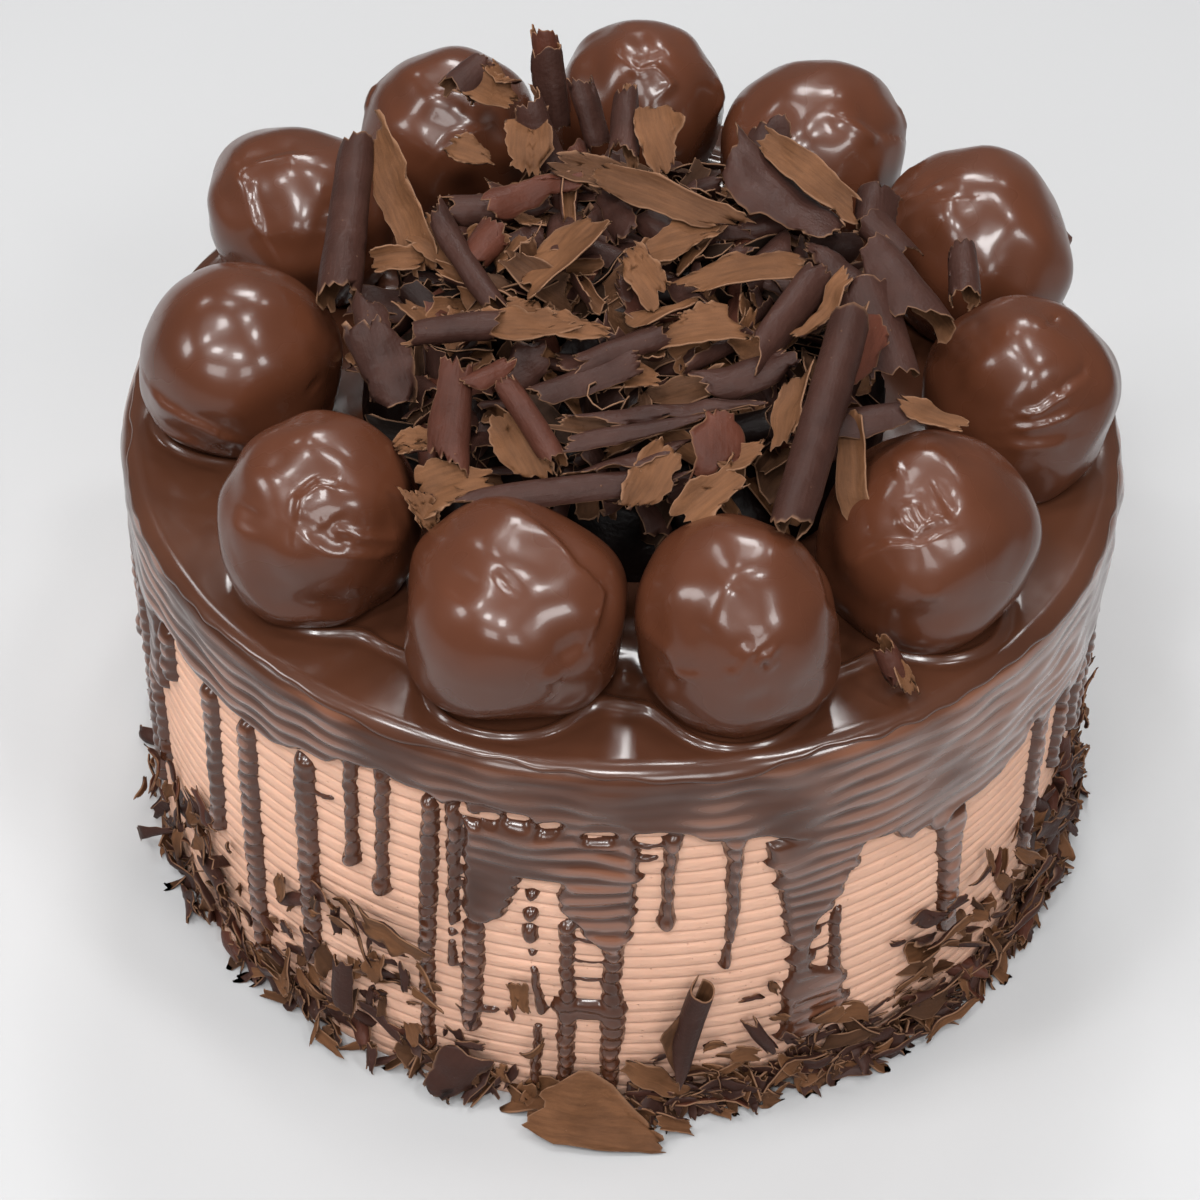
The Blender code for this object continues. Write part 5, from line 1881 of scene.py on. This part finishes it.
@dataclass
class SideShavings:
    """Shavings stuck to the wall and banked round its foot: large ones listed one by one, small ones by
    rule.
    """

    form: CakeForm
    finish: bpy.types.Material
    maker: CurlMaker
    scatterer: ShavingScatter
    seed: int = 12
    floor_gap: float = 0.25 * MM
    reach_limits: tuple[float, float] = (116.0 * MM, 111.0 * MM)
    large: tuple[SideCurl, ...] = tuple(SideCurl(*row) for row in (
        (11, 8, 90, 0.9, -155, 31, 10, 18, 0, 3.5, False), (11, 2.6, 60, 0.6, -160, 16, 12, 25, 0, 6.0),
        (20, 3.6, 120, 0.15, -156, 10, 48, -35, 0, 7.0), (12, 5, 70, 0.6, -152, 11, -84, 10, 0, 2.0, False),
        (16, 7, 60, 0.25, -150, 8, -62, -20, 0, 3.6), (15, 3.2, 300, 0.1, -141, 24.5, 4, 8, 0, 2.6),
        (6, 2.4, 100, 0.1, -138, 36, 60, 10, 0, 1.4), (11, 3, 80, 0.2, -141, 18, -30, 12, 0, 1.8),
        (8, 5, 70, 0.6, -128.6, 39, -84, 12, 10, 1.6, False), (12.5, 7, 60, 0.9, -123, 45, 14, 12, 0, 2.0),
        (7, 3, 60, 0.4, -119.4, 45, -5, 8, 0, 1.2, False),
        (24, 7.5, 60, 0.75, -112.8, 46, 6, 14, 0, 3.4, False),
        (10, 4, 60, 0.7, -119, 40, 10, 10, 20, 2.2, False), (5.5, 5, 50, 0.1, -128, 26, 10, 6, 0, 1.2),
        (12, 5, 70, 0.2, -124.6, 26, -86, 8, 0, 2.0), (14, 6, 80, 0.95, -138.5, 6, 6, 14, 0, 3.5),
        (7, 4.5, 80, 0.9, -133, 7.5, 20, 10, 0, 2.4), (18, 5.4, 170, 0.3, -120.6, 22, -88, 10, 0, 2.8),
        (10.5, 6, 60, 0.55, -115.4, 30, -80, 14, 0, 2.4, False),
        (5, 3.4, 60, 0.2, -112.4, 40, 12, 10, 0, 2.0),
        (19, 1.5, 90, 0.7, -123.5, 8, -76, 16, 0, 4.0, False), (9, 3, 90, 0.1, -111.7, 32, -76, 14, 0, 2.2),
        (9, 1.8, 90, 0.7, -109.1, 36, -54, 16, 0, 3.0, False),
        (10, 1.8, 90, 0.6, -108.8, 28, -24, 10, 0, 3.0, False), (15, 3, 150, 0.2, -115, 12, -34, 6, 0, 2.0),
        (5, 3, 60, 0.9, -115.2, 22, 40, 12, 0, 2.4), (8.5, 5.4, 50, 0.2, -104.2, 25, -74, 6, 0, 1.8),
        (9, 3.6, 90, 0.15, -125.5, 5, -60, 10, 0, 3.0), (8, 3.4, 80, 0.2, -115.6, 4, -80, 26, 0, 5.5),
        (18, 12.5, 40, 0.15, -105.4, 9.5, 62, -14, 0, 5.6), (9, 3, 80, 0.15, -103.8, 17, 18, 10, 0, 3.0),
        (9.5, 5.6, 50, 0.75, -98.5, 35, -80, 8, 0, 1.6, False),
        (3.6, 2.6, 50, 0.9, -99.6, 28, -60, 6, 0, 1.2),
        (13.5, 2.8, 120, 0.75, -96.7, 20, 56, 8, 0, 3.0, False),
        (6, 4.6, 60, 0.7, -100.2, 9, -50, 14, 0, 2.6, False),
        (31, 4.6, 340, 0.35, -79.5, 28, -100, 3, 0, 4.2, True, (0, 1, 0.5), 0.12),
        (25, 8, 60, 0.30, -81.4, 24, -98, 2, 12, 3.2, False, (0, 0.2, 0.25), 0.3),
        (6, 2, 80, 0.6, -82.6, 17.6, 14, 10, 0, 1.8), (6, 3.2, 70, 0.7, -77, 20, 20, 10, 0, 2.2, False),
        (8, 5.6, 70, 0.6, -73.4, 17, -4, 14, 0, 3.0, False),
        (15, 2.4, 320, 0.25, -71.5, 22, -62, 10, 0, 2.8),
        (22, 3.2, 110, 0.75, -67.8, 10, 42, 8, 0, 5.0, False), (9.5, 3.6, 90, 0.2, -64.8, 8, 6, 14, 0, 4.0),
        (6.5, 1.7, 60, 0.9, -72.9, 32.5, -14, 6, 0, 1.2),
        (6.5, 2.6, 60, 0.75, -70.6, 35, -66, 8, 0, 1.5, False),
        (6, 3.2, 60, 0.7, -69.5, 25, -26, 10, 0, 2.0, False), (5, 5, 80, 0.1, -68.1, 17.6, 4, 8, 0, 3.4),
        (10, 5, 60, 0.6, -64, 21, 34, 12, 0, 2.6, False), (17, 4, 110, 0.2, -75.1, 8, -8, 8, 0, 4.6),
        (13, 2.2, 120, 0.85, -84, 7, 14, 8, 0, 3.6), (9, 3, 140, 0.1, -80.3, 5, 6, 6, 0, 4.6),
        (32, 19, 30, 0.9, -89.9, 7.6, -8, 0, -38, 7.2, False, (0.35, 0.6, 0.9), 0.75),
        (12, 3.6, 200, 0.6, -81.6, 3.4, -28, 0, 0, 9.0, False),
        (11, 5.4, 60, 0.2, -50.9, 37, -8, 10, 0, 2.2), (7, 3, 90, 0.1, -47.2, 38, 10, 14, 0, 3.4),
        (14, 3, 80, 0.7, -47.8, 30, 24, 12, 0, 3.2, False), (5, 2.2, 60, 0.6, -54.9, 34, -20, 8, 0, 1.6),
        (11, 1.8, 90, 0.65, -52.2, 18, 44, 8, 0, 1.8, False), (12, 1.4, 90, 0.4, -57.3, 15, 38, 6, 0, 1.6),
        (11, 2.2, 90, 0.8, -41.3, 42, -78, 10, 0, 2.2, False),
        (15, 3.4, 100, 0.75, -35.5, 36, -50, 14, 0, 5.0, False), (8, 3, 90, 0.1, -42.9, 40, 40, 10, 0, 2.4),
        (12, 2.6, 90, 0.15, -30, 20, 38, 14, 0, 4.6), (16, 3.4, 90, 0.3, -33, 12, 20, 10, 0, 6.0),
        (20, 3.2, 150, 0.5, -47, 4, 10, 6, 0, 7.0, False), (18, 3.4, 150, 0.35, -54, 3.4, 8, 4, 0, 6.4),
        (11, 4.6, 90, 0.15, -49, 10, 14, 8, 0, 3.4), (13, 5, 80, 0.2, -57, 8, -10, 12, 0, 4.0),
        (9, 7, 70, 0.3, -20, 32, 30, 16, 0, 3.6), (9, 6, 70, 0.5, -16, 25, -40, 20, 0, 4.2),
        (10, 7, 70, 0.4, -12, 17, 60, 14, 0, 4.0), (10, 3, 70, 0.1, -18, 12, -60, 24, 0, 5.0),
        (9, 7, 70, 0.25, -24, 22, 50, 14, 0, 4.0), (10, 6, 70, 0.3, -28, 30, -30, 16, 0, 4.0),
        (12, 6, 80, 0.2, -25, 8, 20, 14, 0, 5.4), (8, 5, 80, 0.6, -9, 30, -70, 16, 0, 3.4, False),
        (9, 6, 70, 0.2, -5, 12, 40, 14, 0, 3.6)))
    bank_tops: tuple[tuple[float, float], ...] = (
        (-180, 26), (-165, 24), (-150, 34), (-130, 40), (-116, 46), (-104, 26), (-96, 10), (-90, 7),
        (-84, 12), (-76, 22), (-62, 24), (-56, 14), (-48, 38), (-38, 42), (-24, 44), (-8, 38), (10, 24),
        (60, 18), (120, 18), (180, 26))
    low_cover: tuple[tuple[float, float], ...] = (
        (-180, 0.35), (-150, 0.22), (-125, 0.18), (-100, 0.4), (-90, 0.8), (-70, 1.0), (-55, 0.8),
        (-30, 0.8), (-5, 0.8), (40, 0.4), (180, 0.35))
    high_cover: tuple[tuple[float, float], ...] = (
        (-180, 0.10), (-150, 0.12), (-125, 0.16), (-112, 0.30), (-98, 0.03), (-80, 0.05), (-60, 0.06),
        (-45, 0.10), (-25, 0.42), (-5, 0.35), (30, 0.08), (180, 0.08))
    strewn_seed: int = 31
    patches: tuple[tuple[float, float, float, float, int], ...] = (
        (-48, -4, 6, 42, 60), (-62, -4, 2, 12, 42), (-84, -46, 2, 12, 54),
        (-152, -116, 8, 42, 48), (-156, -98, 2, 11, 18), (-4, 190, 2, 20, 72))

    def _strewn(self) -> list[SideCurl]:
        """Splinters between the large shavings, spread by a seeded rule.

        Returns:
            The splinters.
        """
        draw = np.random.default_rng(self.strewn_seed)
        made = []
        for first, last, low, high, count in self.patches:
            for index in range(count):
                if index % 6 == 0:
                    middle = draw.uniform(first, last)
                    level = low + (high - low) * draw.random() ** 1.3
                length = 5.0 + 13.0 * draw.random() ** 1.6
                height = float(np.clip(level + draw.normal(0.0, 3.5), 1.5, high))
                tilt = 40.0 if high < 15 else 90.0
                made.append(SideCurl(
                    length, length * draw.uniform(0.14, 0.5), draw.uniform(50, 150),
                    draw.random(), middle + draw.normal(0.0, 3.2), height,
                    draw.uniform(-tilt, tilt), draw.uniform(0, 24), draw.uniform(-35, 35),
                    draw.uniform(1.4, 1.8 + 5.0 * math.exp(-height / 9.0)), draw.random() < 0.5))
        return made

    def _density(self, angles: Array, heights: Array) -> Array:
        """Share of the wall that small shavings take.

        Args:
            angles: degrees.
            heights: millimetres.

        Returns:
            The share, from 0 to 1.
        """
        tops, low, high = (np.interp(angles, *zip(*table)) for table in (
            self.bank_tops, self.low_cover, self.high_cover))
        share = np.clip(heights / tops, 0.0, 1.0)
        return low * (1 - ramp(heights, 4.0, 13.0)) + high * (1 - ramp(share, 0.6, 1.0))

    def _band(self) -> bpy.types.Object:
        """Strip over the wall's foot that small shavings are scattered on.

        Returns:
            The strip, with its cover attribute.
        """
        count, levels = 240, np.linspace(1.2, 52.0, 40)
        angles = np.linspace(-180.0, 180.0, count, endpoint=False)
        grid_angle, grid_level = np.meshgrid(angles, levels)
        cover = self._density(grid_angle, grid_level)
        bank = 5.2 * np.exp(-grid_level / 6.0) * np.clip(cover, 0.0, 1.0)
        reach = self.form.wall_radius(grid_level * MM) / MM + 0.6 + bank
        turns = np.radians(grid_angle)
        points = np.stack([reach * np.cos(turns), reach * np.sin(turns), grid_level], axis=-1)
        faces = []
        for row in range(len(levels) - 1):
            faces += [face[::-1] for face in ring_faces(row * count, (row + 1) * count, count)]
        return piece_from("side_shavings", points.reshape(-1, 3) * MM, faces, self.finish,
                          {"cover": cover.ravel()})

    def _kept(self, points: Array) -> Array:
        """Keep a shaving's points above the floor and inside the cake's reach."""
        points = points.copy()
        points[:, 2] = np.maximum(points[:, 2], self.floor_gap)
        reach = np.hypot(points[:, 0], points[:, 1])
        limit = np.where(points[:, 1] < -80.0 * MM, *self.reach_limits)
        points[:, :2] *= (np.minimum(reach, limit) / reach)[:, None]
        return points

    def build(self) -> list[bpy.types.Object]:
        """Make the shavings.

        Returns:
            The small, the large and the strewn ones, as three pieces.
        """
        kinds = self.maker.kinds("side_kind", 12, (5.5, 13), (2.2, 6.0), (3, 5), 0.2, self.finish)
        small = self.scatterer.scatter(self._band(), kinds, {
            "Spacing": 1.9 * MM, "Density": 380000.0, "Seed": self.seed, "Tilt": 0.8,
            "Smallest": 0.4, "Largest": 1.3})
        spots = np.array([vert.co[:] for vert in small.data.vertices])
        small.data.vertices.foreach_set("co", self._kept(spots).ravel())
        large = self.maker.bundle("side_shavings_large", self.large, (7, 10), self.finish, self._kept)
        strewn = self.maker.bundle("side_shavings_strewn", self._strewn(), (4, 6), self.finish,
                                   self._kept)
        return [place_piece(piece, "chocolate_curl", "cake_body") for piece in (small, large, strewn)]


@dataclass
class StrayCurl:
    """Rolled shaving that stands by itself in the glaze, between two profiteroles."""

    finish: bpy.types.Material
    maker: CurlMaker
    node: str = "stray_curl"

    def build(self) -> bpy.types.Object:
        """Make the curl inside its solid's box.

        Returns:
            The piece, which stands for the solid.
        """
        low, high = (np.array(corner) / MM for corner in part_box(self.node))
        middle = 0.5 * (low + high)
        parts = [Curl(tuple(middle + [-0.8, 0.6, 0.4]), -42, -56, 180, 12.5, 4.8, 330, 0.9),
                 Curl(tuple(middle + [2.2, -0.8, 0.0]), -48, -50, 20, 9.0, 3.6, 120, 0.8)]
        obj = self.maker.bundle("leaning_curl", parts, (7, 12), self.finish)
        return place_piece(obj, "chocolate_curl", self.node)


# --------------------------------------------------------------------------- staging


@dataclass
class Studio:
    """Pale floor, soft light and the camera."""

    floor_colour: Colour = (0.445, 0.447, 0.452)
    camera_place: tuple[float, float, float] = (0.0002, -0.4225, 0.4667)
    pitch: float = 45.08
    yaw: float = -0.485
    roll: float = 2.109
    lens: float = 81.0
    lamps: tuple[tuple[float, float, float, float], ...] = (
        (-0.32, -0.06, 0.135, 2.2), (-0.57, -0.25, 0.135, 2.5), (-0.36, -0.63, 0.17, 4.4),
        (0.0, -0.80, 0.19, 5.2), (0.41, -0.14, 0.14, 2.9), (0.14, 0.11, 0.13, 2.0),
        (-0.21, 0.46, 0.135, 1.0), (0.16, 0.77, 0.14, 1.2), (0.48, 0.77, 0.14, 1.1),
        (0.02, 1.02, 0.27, 6.0), (-0.76, 0.68, 0.18, 1.4), (-0.56, -1.69, 0.50, 9.8),
        (0.99, -0.90, 0.34, 7.4), (-1.70, -0.40, 0.50, 12.0), (0.45, -1.75, 0.50, 8.2))
    lamp_height: float = 1.30
    lamp_aim: tuple[float, float, float] = (0.0, 0.0, 0.1)
    world_colour: Colour = (1.0, 0.99, 0.98)
    world_strength: float = 0.16
    floor_size: float = 4.0
    sensor: float = 36.0

    def build(self) -> None:
        """Make the floor, the lights, the world and the camera."""
        mesh = bpy.data.meshes.new("floor")
        shape = bmesh.new()
        bmesh.ops.create_grid(shape, x_segments=1, y_segments=1, size=self.floor_size)
        shape.to_mesh(mesh)
        shape.free()
        floor = bpy.data.objects.new("floor", mesh)
        bpy.context.scene.collection.objects.link(floor)
        floor.location.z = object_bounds()[0][2]
        surface = Surface.start("pale_floor", 0.5, 0.3)
        surface.set("Base Color", self.floor_colour)
        mesh.materials.append(surface.material)
        floor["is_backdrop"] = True
        world = bpy.data.worlds.new("soft_room")
        world.use_nodes = True
        background = world.node_tree.nodes["Background"].inputs
        background[0].default_value = (*self.world_colour, 1.0)
        background[1].default_value = self.world_strength
        bpy.context.scene.world = world
        for index, (x, y, size, power) in enumerate(self.lamps):
            light = bpy.data.lights.new(f"ceiling_lamp_{index}", "AREA")
            light.shape, light.size, light.energy = "SQUARE", size, power
            lamp = bpy.data.objects.new(light.name, light)
            lamp.location = (x, y, self.lamp_height)
            aim = Vector(self.lamp_aim) - lamp.location
            lamp.rotation_euler = aim.to_track_quat("-Z", "Y").to_euler()
            bpy.context.scene.collection.objects.link(lamp)
        self._camera()
        settings = bpy.context.scene.view_settings
        settings.view_transform = "Standard"
        settings.look = "None"
        settings.exposure = 0.0

    def _camera(self) -> None:
        """Make the camera from its place, pitch, yaw and roll."""
        pitch, yaw, roll = (math.radians(a) for a in (self.pitch, self.yaw, self.roll))
        ahead = Vector((math.sin(yaw) * math.cos(pitch), math.cos(yaw) * math.cos(pitch),
                        -math.sin(pitch)))
        right = ahead.cross(Vector((0, 0, 1))).normalized()
        up = right.cross(ahead)
        side = right * math.cos(roll) + up * math.sin(roll)
        top = up * math.cos(roll) - right * math.sin(roll)
        data = bpy.data.cameras.new("camera")
        data.lens, data.sensor_width = self.lens, self.sensor
        camera = bpy.data.objects.new("camera", data)
        camera.matrix_world = Matrix((
            (side.x, top.x, -ahead.x, self.camera_place[0]),
            (side.y, top.y, -ahead.y, self.camera_place[1]),
            (side.z, top.z, -ahead.z, self.camera_place[2]), (0, 0, 0, 1)))
        bpy.context.scene.collection.objects.link(camera)
        bpy.context.scene.camera = camera


def main() -> None:
    """Build every piece round the frame."""
    logging.basicConfig(level=logging.INFO, format="%(message)s")
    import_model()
    shared = ShaderLibrary()
    form = CakeForm()
    CombedCream(form, CreamFinish().build(shared)).build()
    ring = ProfiteroleRing(GanacheFinish(
        "profiterole_ganache", (0.061, 0.0190, 0.0088), (0.092, 0.0290, 0.0136),
        specular=0.30, coat=0.26).build(shared))
    glaze = GanacheGlaze(form, GanacheFinish("poured_ganache", roughness=0.22).build(shared), ring.feet())
    glaze.build_top()
    glaze.build_skirt()
    ring.build(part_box("ganache_glaze")[1][2])
    curl_finish = CurlFinish().build(shared)
    maker, scatterer = CurlMaker(), ShavingScatter(curl_finish)
    CurlHeap(curl_finish, maker, scatterer).build()
    SideShavings(form, curl_finish, maker, scatterer).build()
    StrayCurl(curl_finish, maker).build()
    Studio().build()


if __name__ == "__main__":
    main()
